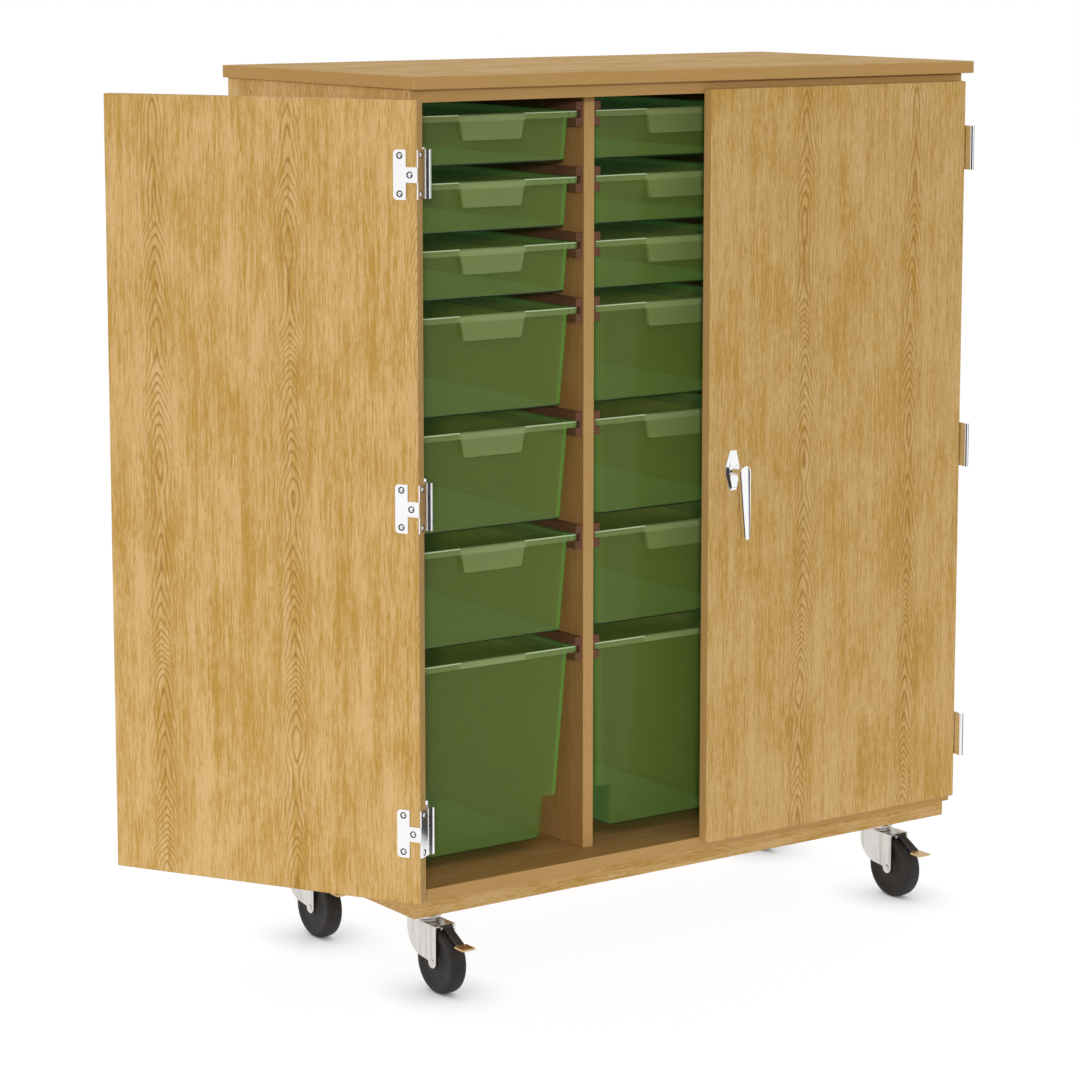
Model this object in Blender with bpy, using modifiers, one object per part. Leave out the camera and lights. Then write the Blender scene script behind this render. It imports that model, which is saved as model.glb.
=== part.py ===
"""Mobile storage cabinet: three columns of pull-out trays behind two hinged doors, on four braked casters.

Lengths are in metres, with +X to the right, +Y to the back and +Z up.  The carcass frame has x = 0 at the
left side's outer face, y = 0 at the side panels' front edges and z = 0 on the floor.  A parent empty
then moves everything so that the origin is the middle of the footprint, on the floor.
"""
import math

import bmesh
import bpy
from mathutils import Matrix, Vector

# Boards and clearances
BOARD = 0.019
BACK_BOARD = 0.006
SEAT = 0.0003
OVERRUN = 0.002
WELD = 0.00001
EDGE_ROUND = 0.0012

# Carcass
COLUMNS = 3
COLUMN_WIDTH = 0.323
DIVIDER_SETBACK = 0.054
SLAB_THICK = 0.019
SLAB_SIDE_OVERHANG = 0.008
SLAB_FRONT_OVERHANG = 0.0205
SLAB_BACK_OVERHANG = 0.003
BASE_THICK = 0.026
BASE_SIDE_INSET = 0.004
BASE_FRONT_INSET = 0.0096

# Trays
SHALLOW = 0.075
DEEP = 0.150
JUMBO = 0.300
TRAY_HEIGHTS = (SHALLOW, SHALLOW, SHALLOW, DEEP, DEEP, DEEP, JUMBO)
TRAY_GAP = 0.023
HEAD_ROOM = 0.023
FOOT_ROOM = 0.017
TRAY_LENGTH = 0.427
TRAY_FRONT = 0.060
TRAY_SIDE_ROOM = 0.0055
TRAY_BACK_ROOM = 0.024
TRAY_WALL = 0.0025
LIP_DROP = 0.010
LIP_CORNER = 0.004
BODY_CORNER = 0.009
SIDE_INSET = 0.011
FRONT_INSET = 0.006
DRAFT_SHARE = 0.056
FOOT_HEIGHT = 0.067
FOOT_STEP = 0.024
GRIP_DROP = 0.028
GRIP_TOP_WIDTH = 0.118
GRIP_BOTTOM_WIDTH = 0.103
GRIP_PROUD = 0.001
CORNER_STEPS = 2

# Tray runners
RUNNER_DEPTH = 0.013
RUNNER_WEB = 0.0045
RUNNER_FLANGE = 0.0128
RUNNER_SETBACK = 0.002
SLOT_HEADROOM = 0.001
LIP_STOP_GAP = 0.001
RUNNER_TAIL = 0.008

# Doors
DOOR_EDGE_INSET = 0.009
DOOR_MEETING_GAP = 0.003
DOOR_TOP_LAP = 0.0065
DOOR_BOTTOM_LAP = 0.005
LEFT_DOOR_OPEN = math.radians(239.6)

# Door hinges
LEAF = 0.002
LEAF_GAP = 0.0004
KNUCKLES = 5
KNUCKLE_LENGTH = 0.014
KNUCKLE_GAP = 0.0004
BARREL_RADIUS = 0.0046
BARREL_STANDOFF = 0.0127
BARREL_OUTSET = 0.0025
PIN_RADIUS = 0.0021
PIN_CLEARANCE = 0.0004
HINGE_END_DISTANCE = 0.105
STRAP_HALF_HEIGHT = 0.011
BAR_START = 0.016
BAR_WIDTH = 0.020
BAR_HEIGHT = 0.071
FRAME_TAB_HEIGHT = 0.018
FRAME_LEAF_DEPTH = 0.036

# Lever lock
LEVER_FROM_EDGE = 0.045
ROSE_HEIGHT = 0.062
ROSE_WIDTH = 0.029
ROSE_END_WIDTH = 0.013
ROSE_THICK = 0.007
ROSE_ROUND = 0.002
LEVER_REACH = 0.103
LEVER_HEAD_RADIUS = 0.0105
LEVER_TIP_RADIUS = 0.0055
LEVER_THICK = 0.010
LEVER_STANDOFF = 0.0310
LEVER_LEAN = 0.006
LEVER_ROUND = 0.0025
NECK_RADIUS = 0.0068
SPINDLE_RADIUS = 0.005
SPINDLE_CLEARANCE = 0.0005
CAM_RADIUS = 0.014
CAM_THICK = 0.003
CRANK_RADIUS = 0.0085
CRANK_PIN_RADIUS = 0.002
CRANK_REST = math.radians(45)
YOKE_CLEARANCE = 0.0005
ROD_WIDTH = 0.014
ROD_THICK = 0.004
ROD_FRONT = 0.008
ROD_APART = 0.0005
ROD_STOP = 0.003
ROD_TAIL = 0.003
ROD_TRAVEL = 2 * CRANK_RADIUS * math.sin(CRANK_REST)
KEEPER_CLEARANCE = 0.0006
KEEPER_SPARE = 0.002
GUIDE_WALL = 0.003
GUIDE_HEIGHT = 0.022
GUIDE_CLEARANCE = 0.0005
GUIDE_PLACES_SHARES = (0.22, 0.92)

# Casters
WHEEL_RADIUS = 0.050
WHEEL_WIDTH = 0.028
WHEEL_CROWN = 0.004
WHEEL_SHOULDER = 0.003
WHEEL_DISH = 0.003
WHEEL_RIM = 0.012
HUB_RADIUS = 0.013
CASTER_SIDE_INSET = 0.0753
CASTER_END_INSET = 0.0835
TRAIL = 0.0395
AXLE_RADIUS = 0.005
AXLE_CLEARANCE = 0.0004
AXLE_HEAD_RADIUS = 0.0075
AXLE_HEAD_HEIGHT = 0.0035
FORK_SHEET = 0.003
FORK_INSIDE = 0.0306
FORK_TIP_RADIUS = 0.010
FORK_HEEL_RADIUS = 0.040
FORK_HEEL_BACK = 0.027
FORK_HEEL_UP = 0.042
FORK_TOP = 0.0565
CUP_RADIUS = 0.021
CUP_HEIGHT = 0.0085
RACE_RADIUS = 0.027
RACE_TOP_RADIUS = 0.024
RACE_HEIGHT = 0.0145
RACE_GAP = 0.0005
KINGPIN_RADIUS = 0.005
KINGPIN_CLEARANCE = 0.0005
KINGPIN_SPARE = 0.002
PLATE_THICK = 0.003
PLATE_WIDTH = 0.064
PLATE_LENGTH = 0.092
BRAKE_PIVOT_AHEAD = 0.0135
BRAKE_PIVOT_UP = 0.0545
BRAKE_TUBE_RADIUS = 0.0032
BRAKE_PIN_RADIUS = 0.0015
BRAKE_PIN_CLEARANCE = 0.0004
BRAKE_TUBE_LENGTH = 0.018
BRAKE_ARM = 0.003
BRAKE_ARM_WIDTH = 0.012
BRAKE_SHOE_WIDTH = 0.010
BRAKE_EAR = 0.0025
BRAKE_SHOE_AHEAD = 0.031
BRAKE_SHOE_LENGTH = 0.009
BRAKE_SHOE_GAP = 0.0014
PEDAL_START_AHEAD = 0.052
PEDAL_START_UP = 0.034
PEDAL_END_AHEAD = 0.073
PEDAL_END_UP = 0.0335
PEDAL_WIDTH = 0.022

# Roundness
WHEEL_STEPS = 24
TURNED_STEPS = 12
SMALL_STEPS = 10
ARC_STEPS = 5
NUT_SIDES = 6
PIN_STEPS = 8

# Places worked out from the sizes above
TRAY_WIDTH = COLUMN_WIDTH - 2 * TRAY_SIDE_ROOM
CARCASS_DEPTH = TRAY_FRONT + TRAY_LENGTH + TRAY_BACK_ROOM + BACK_BOARD
WIDTH = COLUMNS * COLUMN_WIDTH + (COLUMNS + 1) * BOARD
FORK_RISE = WHEEL_RADIUS + FORK_TOP
RACE_BOTTOM = FORK_RISE + CUP_HEIGHT + RACE_GAP
BASE_BOTTOM = RACE_BOTTOM + RACE_HEIGHT + PLATE_THICK
BASE_TOP = BASE_BOTTOM + BASE_THICK
FLOOR_TOP = BASE_TOP + BOARD
OPENING = HEAD_ROOM + sum(TRAY_HEIGHTS) + (len(TRAY_HEIGHTS) - 1) * TRAY_GAP + FOOT_ROOM
CEILING = FLOOR_TOP + OPENING
SLAB_BOTTOM = CEILING + BOARD
SLAB_TOP = SLAB_BOTTOM + SLAB_THICK
BACK_FRONT = CARCASS_DEPTH - BACK_BOARD
DOOR_BACK = -(LEAF + 2 * SEAT)
DOOR_FRONT = DOOR_BACK - BOARD
DOOR_LOW = FLOOR_TOP - DOOR_BOTTOM_LAP
DOOR_HIGH = CEILING + DOOR_TOP_LAP
DOOR_WIDTH = (WIDTH - 2 * DOOR_EDGE_INSET - DOOR_MEETING_GAP) / 2
AXIS_X = DOOR_EDGE_INSET - BARREL_OUTSET
AXIS_Y = DOOR_FRONT - BARREL_STANDOFF
HINGE_HEIGHTS = (DOOR_LOW + HINGE_END_DISTANCE, (DOOR_LOW + DOOR_HIGH) / 2, DOOR_HIGH - HINGE_END_DISTANCE)
LEVER_X = WIDTH - DOOR_EDGE_INSET - DOOR_WIDTH + LEVER_FROM_EDGE
LEVER_Z = (DOOR_LOW + DOOR_HIGH) / 2
SLOT_DROP = LIP_DROP + SEAT


def lip_tops():
    """Heights of the trays' lips, from the top of a column down."""
    tops = []
    top = CEILING - HEAD_ROOM
    for height in TRAY_HEIGHTS:
        tops.append(top)
        top -= height + TRAY_GAP
    return tops


# Scene, collection and materials
for old in list(bpy.data.objects):
    bpy.data.objects.remove(old, do_unlink=True)
parts = bpy.data.collections.new("mobile_storage_cabinet")
bpy.context.scene.collection.children.link(parts)


def material(name, colour, roughness, metallic=0.0, alpha=1.0):
    finish = bpy.data.materials.new(name)
    finish.use_nodes = True
    shader = finish.node_tree.nodes["Principled BSDF"]
    shader.inputs["Base Color"].default_value = (*colour, 1.0)
    shader.inputs["Roughness"].default_value = roughness
    shader.inputs["Metallic"].default_value = metallic
    shader.inputs["Alpha"].default_value = alpha
    return finish


OAK = material("oak_veneer", (0.52, 0.32, 0.12), 0.5)
INNER_OAK = material("inner_oak", (0.35, 0.18, 0.07), 0.6)
TRAY_GREEN = material("tray_green", (0.05, 0.22, 0.03), 0.25, alpha=0.8)
CHROME = material("chrome", (0.8, 0.8, 0.8), 0.12, metallic=1.0)
STEEL = material("bright_steel", (0.62, 0.6, 0.57), 0.28, metallic=1.0)
TYRE = material("black_tyre", (0.02, 0.02, 0.02), 0.6)


# Building blocks
def add_mesh(name, mesh, finish):
    """A new object in the part's collection, holding this mesh."""
    piece = bpy.data.objects.new(name, mesh)
    mesh.materials.clear()
    mesh.materials.append(finish)
    parts.objects.link(piece)
    return piece


def from_bmesh(name, bm, finish):
    mesh = bpy.data.meshes.new(name)
    bm.to_mesh(mesh)
    bm.free()
    return add_mesh(name, mesh, finish)


def box(name, low, high, finish=OAK):
    """A block between two corners."""
    low = Vector(low)
    high = Vector(high)
    bm = bmesh.new()
    place = Matrix.Translation((low + high) / 2) @ Matrix.Diagonal((*(high - low), 1))
    bmesh.ops.create_cube(bm, size=1, matrix=place)
    return from_bmesh(name, bm, finish)


def boxes(name, corners, finish=OAK):
    """Several blocks that don't touch, in one mesh, for joining to a piece or cutting it."""
    bm = bmesh.new()
    for low, high in corners:
        low = Vector(low)
        high = Vector(high)
        place = Matrix.Translation((low + high) / 2) @ Matrix.Diagonal((*(high - low), 1))
        bmesh.ops.create_cube(bm, size=1, matrix=place)
    return from_bmesh(name, bm, finish)


def rod(name, start, end, radius, finish=STEEL, steps=SMALL_STEPS):
    """A round bar between two points."""
    start = Vector(start)
    end = Vector(end)
    turn = (end - start).to_track_quat("Z", "Y").to_matrix().to_4x4()
    bm = bmesh.new()
    bmesh.ops.create_cone(
        bm, cap_ends=True, segments=steps, radius1=radius, radius2=radius, depth=(end - start).length,
        matrix=Matrix.Translation((start + end) / 2) @ turn)
    return from_bmesh(name, bm, finish)


def settle(piece):
    """Replace a piece's mesh, and its modifiers, by what they make."""
    seen = piece.evaluated_get(bpy.context.evaluated_depsgraph_get())
    mesh = bpy.data.meshes.new_from_object(seen)
    finish = piece.data.materials[0]
    piece.modifiers.clear()
    piece.data = mesh
    mesh.materials.clear()
    mesh.materials.append(finish)
    return piece


def combine(piece, operation, *tools):
    """Join the tools to a piece or cut them out of it, one at a time, and remove them."""
    for tool in tools:
        step = piece.modifiers.new(operation.lower(), "BOOLEAN")
        step.operation = operation
        step.solver = "EXACT"
        step.object = tool
        settle(piece)
        bpy.data.objects.remove(tool, do_unlink=True)
    return piece


def union(piece, *tools):
    return combine(piece, "UNION", *tools)


def cut(piece, *tools):
    return combine(piece, "DIFFERENCE", *tools)


def rounded(piece, width=EDGE_ROUND, segments=1):
    bevel = piece.modifiers.new("edges", "BEVEL")
    bevel.width = width
    bevel.segments = segments
    bevel.limit_method = "ANGLE"
    return settle(piece)


def turned(name, profile, finish, steps=TURNED_STEPS, closed=False):
    """A round piece about its own Z axis: (radius, height) points down its outer side."""
    count = len(profile)
    edges = [(i, i + 1) for i in range(count - 1)]
    if closed:
        edges.append((count - 1, 0))
    mesh = bpy.data.meshes.new(name)
    mesh.from_pydata([(radius, 0, height) for radius, height in profile], edges, [])
    piece = add_mesh(name, mesh, finish)
    screw = piece.modifiers.new("turn", "SCREW")
    screw.axis = "Z"
    screw.steps = steps
    screw.render_steps = steps
    screw.use_merge_vertices = True
    screw.merge_threshold = WELD
    return settle(piece)


def plate(name, outline, thickness, place, finish):
    """A flat outline in its own XY plane, given a thickness about that plane and put in place."""
    curve = bpy.data.curves.new(name, "CURVE")
    curve.dimensions = "2D"
    curve.fill_mode = "BOTH"
    curve.extrude = thickness / 2
    line = curve.splines.new("POLY")
    line.points.add(len(outline) - 1)
    line.use_cyclic_u = True
    for point, (across, up) in zip(line.points, outline):
        point.co = (across, up, 0, 1)
    drawn = bpy.data.objects.new(name, curve)
    parts.objects.link(drawn)
    seen = drawn.evaluated_get(bpy.context.evaluated_depsgraph_get())
    mesh = bpy.data.meshes.new_from_object(seen)
    bpy.data.objects.remove(drawn, do_unlink=True)
    bm = bmesh.new()
    bm.from_mesh(mesh)
    bmesh.ops.remove_doubles(bm, verts=bm.verts, dist=WELD)
    bmesh.ops.transform(bm, matrix=place, verts=bm.verts)
    bmesh.ops.recalc_face_normals(bm, faces=bm.faces)
    return from_bmesh(name, bm, finish)


def arc(centre, radius, start, end, steps=ARC_STEPS):
    """Points on an arc, angles in degrees."""
    points = []
    for i in range(steps + 1):
        angle = math.radians(start + (end - start) * i / steps)
        points.append((centre[0] + radius * math.cos(angle), centre[1] + radius * math.sin(angle)))
    return points


# An outline's (across, up) laid in the XZ plane, seen from the front, and in the YZ plane, seen from -X
FACING_FRONT = Matrix(((1, 0, 0, 0), (0, 0, -1, 0), (0, 1, 0, 0), (0, 0, 0, 1)))
FACING_SIDE = Matrix(((0, 0, 1, 0), (1, 0, 0, 0), (0, 1, 0, 0), (0, 0, 0, 1)))


def smooth(piece, degrees=35):
    piece.data.shade_smooth()
    piece.data.set_sharp_from_angle(angle=math.radians(degrees))
    return piece


# Tray runners and the panels that carry them
def runner_blocks(face, side):
    """Blocks and slots of the runners on one panel face; side is +1 where the face looks to +X."""
    blocks = []
    slots = []
    tip = face + side * RUNNER_DEPTH
    web = face + side * RUNNER_WEB
    root = face - side * OVERRUN
    start = DIVIDER_SETBACK + RUNNER_SETBACK
    stop = TRAY_FRONT + TRAY_LENGTH + LIP_STOP_GAP
    for top in lip_tops():
        slot_low = top - SLOT_DROP
        slot_high = top + SLOT_HEADROOM
        blocks.append(((min(root, tip), start, slot_low - RUNNER_FLANGE),
                       (max(root, tip), stop + RUNNER_TAIL, slot_high + RUNNER_FLANGE)))
        past = tip + side * OVERRUN
        slots.append(((min(web, past), start - OVERRUN, slot_low), (max(web, past), stop, slot_high)))
    return blocks, slots


def upright(name, left, front, low, high, back, faces, finish):
    """A vertical panel with the runners of each face that looks at trays."""
    panel = box(name, (left, front, low), (left + BOARD, back, high), finish)
    blocks = []
    slots = []
    for face, side in faces:
        some_blocks, some_slots = runner_blocks(face, side)
        blocks += some_blocks
        slots += some_slots
    union(panel, boxes("blocks", blocks))
    return cut(panel, boxes("slots", slots))


def column_left(column):
    """The x at which a column's opening starts."""
    return BOARD + column * (COLUMN_WIDTH + BOARD)


def carcass():
    low = BASE_TOP + SEAT
    high = SLAB_BOTTOM - SEAT
    right = WIDTH - BOARD
    upright("side_left", 0, 0, low, high, CARCASS_DEPTH, [(BOARD, 1)], OAK)
    upright("side_right", right, 0, low, high, CARCASS_DEPTH, [(right, -1)], OAK)
    for name, column in (("divider_left", 1), ("divider_right", 2)):
        x = column_left(column) - BOARD
        upright(name, x, DIVIDER_SETBACK, FLOOR_TOP + SEAT, CEILING - SEAT, BACK_FRONT - SEAT,
                [(x, -1), (x + BOARD, 1)], OAK)
    inside = (BOARD + SEAT, right - SEAT)
    top = box("top_panel", (inside[0], 0, CEILING), (inside[1], BACK_FRONT - SEAT, high))
    bottom = box("bottom_panel", (inside[0], 0, low), (inside[1], BACK_FRONT - SEAT, FLOOR_TOP))
    depth = ROD_TRAVEL - ROD_STOP + KEEPER_SPARE
    cut(top, keeper(upper_rod_left(), CEILING - OVERRUN, CEILING + depth))
    cut(bottom, keeper(lower_rod_left(), FLOOR_TOP - depth, FLOOR_TOP + OVERRUN))
    box("back_panel", (inside[0], BACK_FRONT, low), (inside[1], CARCASS_DEPTH, high), INNER_OAK)
    slab = box("top_slab", (-SLAB_SIDE_OVERHANG, -SLAB_FRONT_OVERHANG, SLAB_BOTTOM),
               (WIDTH + SLAB_SIDE_OVERHANG, CARCASS_DEPTH + SLAB_BACK_OVERHANG, SLAB_TOP))
    rounded(slab, segments=2)


# Trays
def ring(bm, left, right, front, back, corner, height):
    """A rounded rectangle of points at one height, counter-clockwise from above."""
    centres = ((right - corner, back - corner, 0), (left + corner, back - corner, 90),
               (left + corner, front + corner, 180), (right - corner, front + corner, 270))
    points = []
    for x, y, start in centres:
        points += arc((x, y), corner, start, start + 90, CORNER_STEPS)
    return [bm.verts.new((x, y, height)) for x, y in points]


def tray(name, left, top, height):
    """A moulded tray: a turned-down lip, drafted walls, a floor and, but for the tallest, a front grip."""
    right = left + TRAY_WIDTH
    front = TRAY_FRONT
    back = TRAY_FRONT + TRAY_LENGTH
    bm = bmesh.new()

    def level(side, end, corner, z):
        return ring(bm, left + side, right - side, front + end, back - end, corner, z)

    side = SIDE_INSET + TRAY_WALL
    end = FRONT_INSET + TRAY_WALL
    levels = [level(0, 0, LIP_CORNER, top - LIP_DROP), level(0, 0, LIP_CORNER, top),
              level(side, end, BODY_CORNER, top)]
    drop = height - TRAY_WALL
    if height == JUMBO:
        to_step = height - FOOT_HEIGHT - TRAY_WALL
        lean = to_step * DRAFT_SHARE
        levels.append(level(side + lean, end + lean, BODY_CORNER, top - to_step))
        side += FOOT_STEP
        levels.append(level(side + lean, end + lean, BODY_CORNER, top - to_step))
    lean = drop * DRAFT_SHARE
    levels.append(level(side + lean, end + lean, BODY_CORNER, top - drop))
    for upper, lower in zip(levels, levels[1:]):
        for i in range(len(upper)):
            after = (i + 1) % len(upper)
            bm.faces.new((upper[i], upper[after], lower[after], lower[i]))
    bm.faces.new(levels[-1])
    piece = from_bmesh(name, bm, TRAY_GREEN)
    shell = piece.modifiers.new("wall", "SOLIDIFY")
    shell.thickness = TRAY_WALL
    shell.offset = -1
    shell.use_even_offset = True
    settle(piece)
    if height != JUMBO:
        middle = (left + right) / 2
        low = top - LIP_DROP - GRIP_DROP
        high = top - TRAY_WALL / 2
        half_top = GRIP_TOP_WIDTH / 2
        half_bottom = GRIP_BOTTOM_WIDTH / 2
        outline = ((middle - half_top, high), (middle + half_top, high), (middle + half_bottom, low),
                   (middle - half_bottom, low))
        thick = GRIP_PROUD + TRAY_WALL / 2
        place = Matrix.Translation((0, front - GRIP_PROUD + thick / 2, 0)) @ FACING_FRONT
        union(piece, plate("grip", outline, thick, place, TRAY_GREEN))
    return smooth(piece)


def trays():
    for column in range(COLUMNS):
        left = column_left(column) + TRAY_SIDE_ROOM
        for row, (top, height) in enumerate(zip(lip_tops(), TRAY_HEIGHTS)):
            tray(f"tray_c{column + 1}_r{row + 1}", left, top, height)


# Doors and their hinges, drawn closed for the left door and mirrored for the right
def mirror_side(piece):
    """Mirror a piece from the cabinet's left half to its right half."""
    piece.data.transform(Matrix.Translation((WIDTH, 0, 0)) @ Matrix.Diagonal((-1, 1, 1, 1)))
    piece.data.flip_normals()
    return piece


def knuckle_span(index, middle):
    """Lower and upper end of one knuckle of a hinge, counted from its lower end."""
    low = middle + (index - KNUCKLES / 2) * KNUCKLE_LENGTH
    return low + KNUCKLE_GAP / 2, low + KNUCKLE_LENGTH - KNUCKLE_GAP / 2


def knuckle(index, middle):
    low, high = knuckle_span(index, middle)
    return rod("knuckle", (AXIS_X, AXIS_Y, low), (AXIS_X, AXIS_Y, high), BARREL_RADIUS, CHROME, TURNED_STEPS)


def wing(plate_low, plate_high, index, middle):
    """The strip that joins one knuckle to its leaf, along the leaf's plate."""
    low, high = knuckle_span(index, middle)
    return box("wing", (plate_low, AXIS_Y + PIN_RADIUS + PIN_CLEARANCE, low),
               (plate_high, AXIS_Y + BARREL_RADIUS + LEAF, high), CHROME)


def door_leaf(name, middle):
    """The leaf on the door: a plate on its edge, and a strap and bar on its inner face."""
    plate_high = DOOR_EDGE_INSET - SEAT
    plate_low = plate_high - LEAF
    half = KNUCKLES * KNUCKLE_LENGTH / 2
    clear = AXIS_Y + BARREL_RADIUS + LEAF_GAP
    inner = DOOR_BACK + SEAT
    leaf = box(name, (plate_low, clear, middle - half), (plate_high, DOOR_BACK, middle + half), CHROME)
    bar_left = DOOR_EDGE_INSET + BAR_START
    strap = box("strap", (plate_low, DOOR_BACK - LEAF, middle - STRAP_HALF_HEIGHT),
                (plate_high, inner + LEAF, middle + STRAP_HALF_HEIGHT))
    tongue = box("tongue", (plate_high - LEAF / 2, inner, middle - STRAP_HALF_HEIGHT),
                 (bar_left + LEAF, inner + LEAF, middle + STRAP_HALF_HEIGHT))
    bar = box("bar", (bar_left, inner, middle - BAR_HEIGHT / 2),
              (bar_left + BAR_WIDTH, inner + LEAF, middle + BAR_HEIGHT / 2))
    union(leaf, strap, tongue, bar)
    for index in range(1, KNUCKLES, 2):
        union(leaf, wing(plate_low, plate_high, index, middle), knuckle(index, middle))
    bore = rod("bore", (AXIS_X, AXIS_Y, middle - half - OVERRUN), (AXIS_X, AXIS_Y, middle + half + OVERRUN),
               PIN_RADIUS + PIN_CLEARANCE)
    return cut(leaf, bore)


def frame_leaf(name, middle):
    """The leaf on the carcass: a plate, with tabs and a flange round the side panel's front edge."""
    plate_high = DOOR_EDGE_INSET - SEAT - LEAF - LEAF_GAP
    plate_low = plate_high - LEAF
    half = KNUCKLES * KNUCKLE_LENGTH / 2
    clear = AXIS_Y + BARREL_RADIUS + LEAF_GAP
    front = DOOR_BACK + SEAT
    inside = BOARD + SEAT
    leaf = box(name, (plate_low, clear, middle - half), (plate_high, front + LEAF, middle + half), CHROME)
    for low in (middle - half, middle + half - FRAME_TAB_HEIGHT):
        high = low + FRAME_TAB_HEIGHT
        union(leaf, box("tab", (plate_high - LEAF / 2, front, low), (inside + LEAF, front + LEAF, high)),
              box("turn", (inside, front + LEAF / 2, low), (inside + LEAF, LEAF, high)))
    union(leaf, box("flange", (inside, SEAT, middle - half),
                    (inside + LEAF, FRAME_LEAF_DEPTH, middle + half)))
    for index in range(0, KNUCKLES, 2):
        union(leaf, wing(plate_low, plate_high, index, middle), knuckle(index, middle))
    pin = rod("pin", (AXIS_X, AXIS_Y, middle - half + KNUCKLE_LENGTH / 2),
              (AXIS_X, AXIS_Y, middle + half - KNUCKLE_LENGTH / 2), PIN_RADIUS)
    return union(leaf, pin)


def doors():
    """Both doors with their leaves; the left door's pieces hang on an empty that holds it open."""
    hang = bpy.data.objects.new("left_door_axis", None)
    parts.objects.link(hang)
    hang.location = (AXIS_X, AXIS_Y, 0)
    hang.rotation_euler = (0, 0, -LEFT_DOOR_OPEN)
    left_edge = (DOOR_EDGE_INSET, DOOR_FRONT, DOOR_LOW)
    right_edge = (DOOR_EDGE_INSET + DOOR_WIDTH, DOOR_BACK, DOOR_HIGH)
    swinging = [rounded(box("door_left", left_edge, right_edge))]
    for place, middle in zip(("low", "mid", "top"), HINGE_HEIGHTS):
        swinging.append(door_leaf(f"door_leaf_left_{place}", middle))
        frame_leaf(f"frame_leaf_left_{place}", middle)
        mirror_side(door_leaf(f"door_leaf_right_{place}", middle))
        mirror_side(frame_leaf(f"frame_leaf_right_{place}", middle))
    for piece in swinging:
        piece.data.transform(Matrix.Translation((-AXIS_X, -AXIS_Y, 0)))
        piece.parent = hang
    right_door(mirror_side(rounded(box("door_right", left_edge, right_edge))))


# Lever lock
def upper_rod_left():
    return LEVER_X + ROD_APART


def lower_rod_left():
    return LEVER_X - ROD_APART - ROD_WIDTH


def keeper(left, low, high):
    """The socket in a panel that a latch rod enters."""
    return box("keeper", (left - KEEPER_CLEARANCE, ROD_FRONT - KEEPER_CLEARANCE, low),
               (left + ROD_WIDTH + KEEPER_CLEARANCE, ROD_FRONT + ROD_THICK + KEEPER_CLEARANCE, high))


def guide(door, left, low):
    """A staple on the door's inner face that a latch rod slides through."""
    back = ROD_FRONT + ROD_THICK + GUIDE_CLEARANCE
    union(door, box("staple", (left - GUIDE_WALL, DOOR_BACK - OVERRUN, low),
                    (left + ROD_WIDTH + GUIDE_WALL, back + GUIDE_WALL, low + GUIDE_HEIGHT)))
    cut(door, box("way", (left - GUIDE_CLEARANCE, ROD_FRONT - GUIDE_CLEARANCE, low - OVERRUN),
                  (left + ROD_WIDTH + GUIDE_CLEARANCE, back, low + GUIDE_HEIGHT + OVERRUN)))


def right_door(door):
    cut(door, rod("spindle_hole", (LEVER_X, DOOR_FRONT - OVERRUN, LEVER_Z),
                  (LEVER_X, DOOR_BACK + OVERRUN, LEVER_Z), SPINDLE_RADIUS + SPINDLE_CLEARANCE))
    for share in GUIDE_PLACES_SHARES:
        guide(door, upper_rod_left(), LEVER_Z + share * (DOOR_HIGH - LEVER_Z) - GUIDE_HEIGHT / 2)
        guide(door, lower_rod_left(), LEVER_Z - share * (LEVER_Z - DOOR_LOW) - GUIDE_HEIGHT / 2)


def latch_rod(name, left, low, high, crank_angle):
    """A flat latch rod with a level slot for the cam's crank pin."""
    bar = box(name, (left, ROD_FRONT, low), (left + ROD_WIDTH, ROD_FRONT + ROD_THICK, high), STEEL)
    pin_x = LEVER_X + CRANK_RADIUS * math.cos(crank_angle)
    far_x = LEVER_X + math.copysign(CRANK_RADIUS, math.cos(crank_angle))
    pin_z = LEVER_Z + CRANK_RADIUS * math.sin(crank_angle)
    room = CRANK_PIN_RADIUS + YOKE_CLEARANCE
    slot = box("slot", (min(pin_x, far_x) - room, ROD_FRONT - OVERRUN, pin_z - room),
               (max(pin_x, far_x) + room, ROD_FRONT + ROD_THICK + OVERRUN, pin_z + room))
    return cut(bar, slot)


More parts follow.
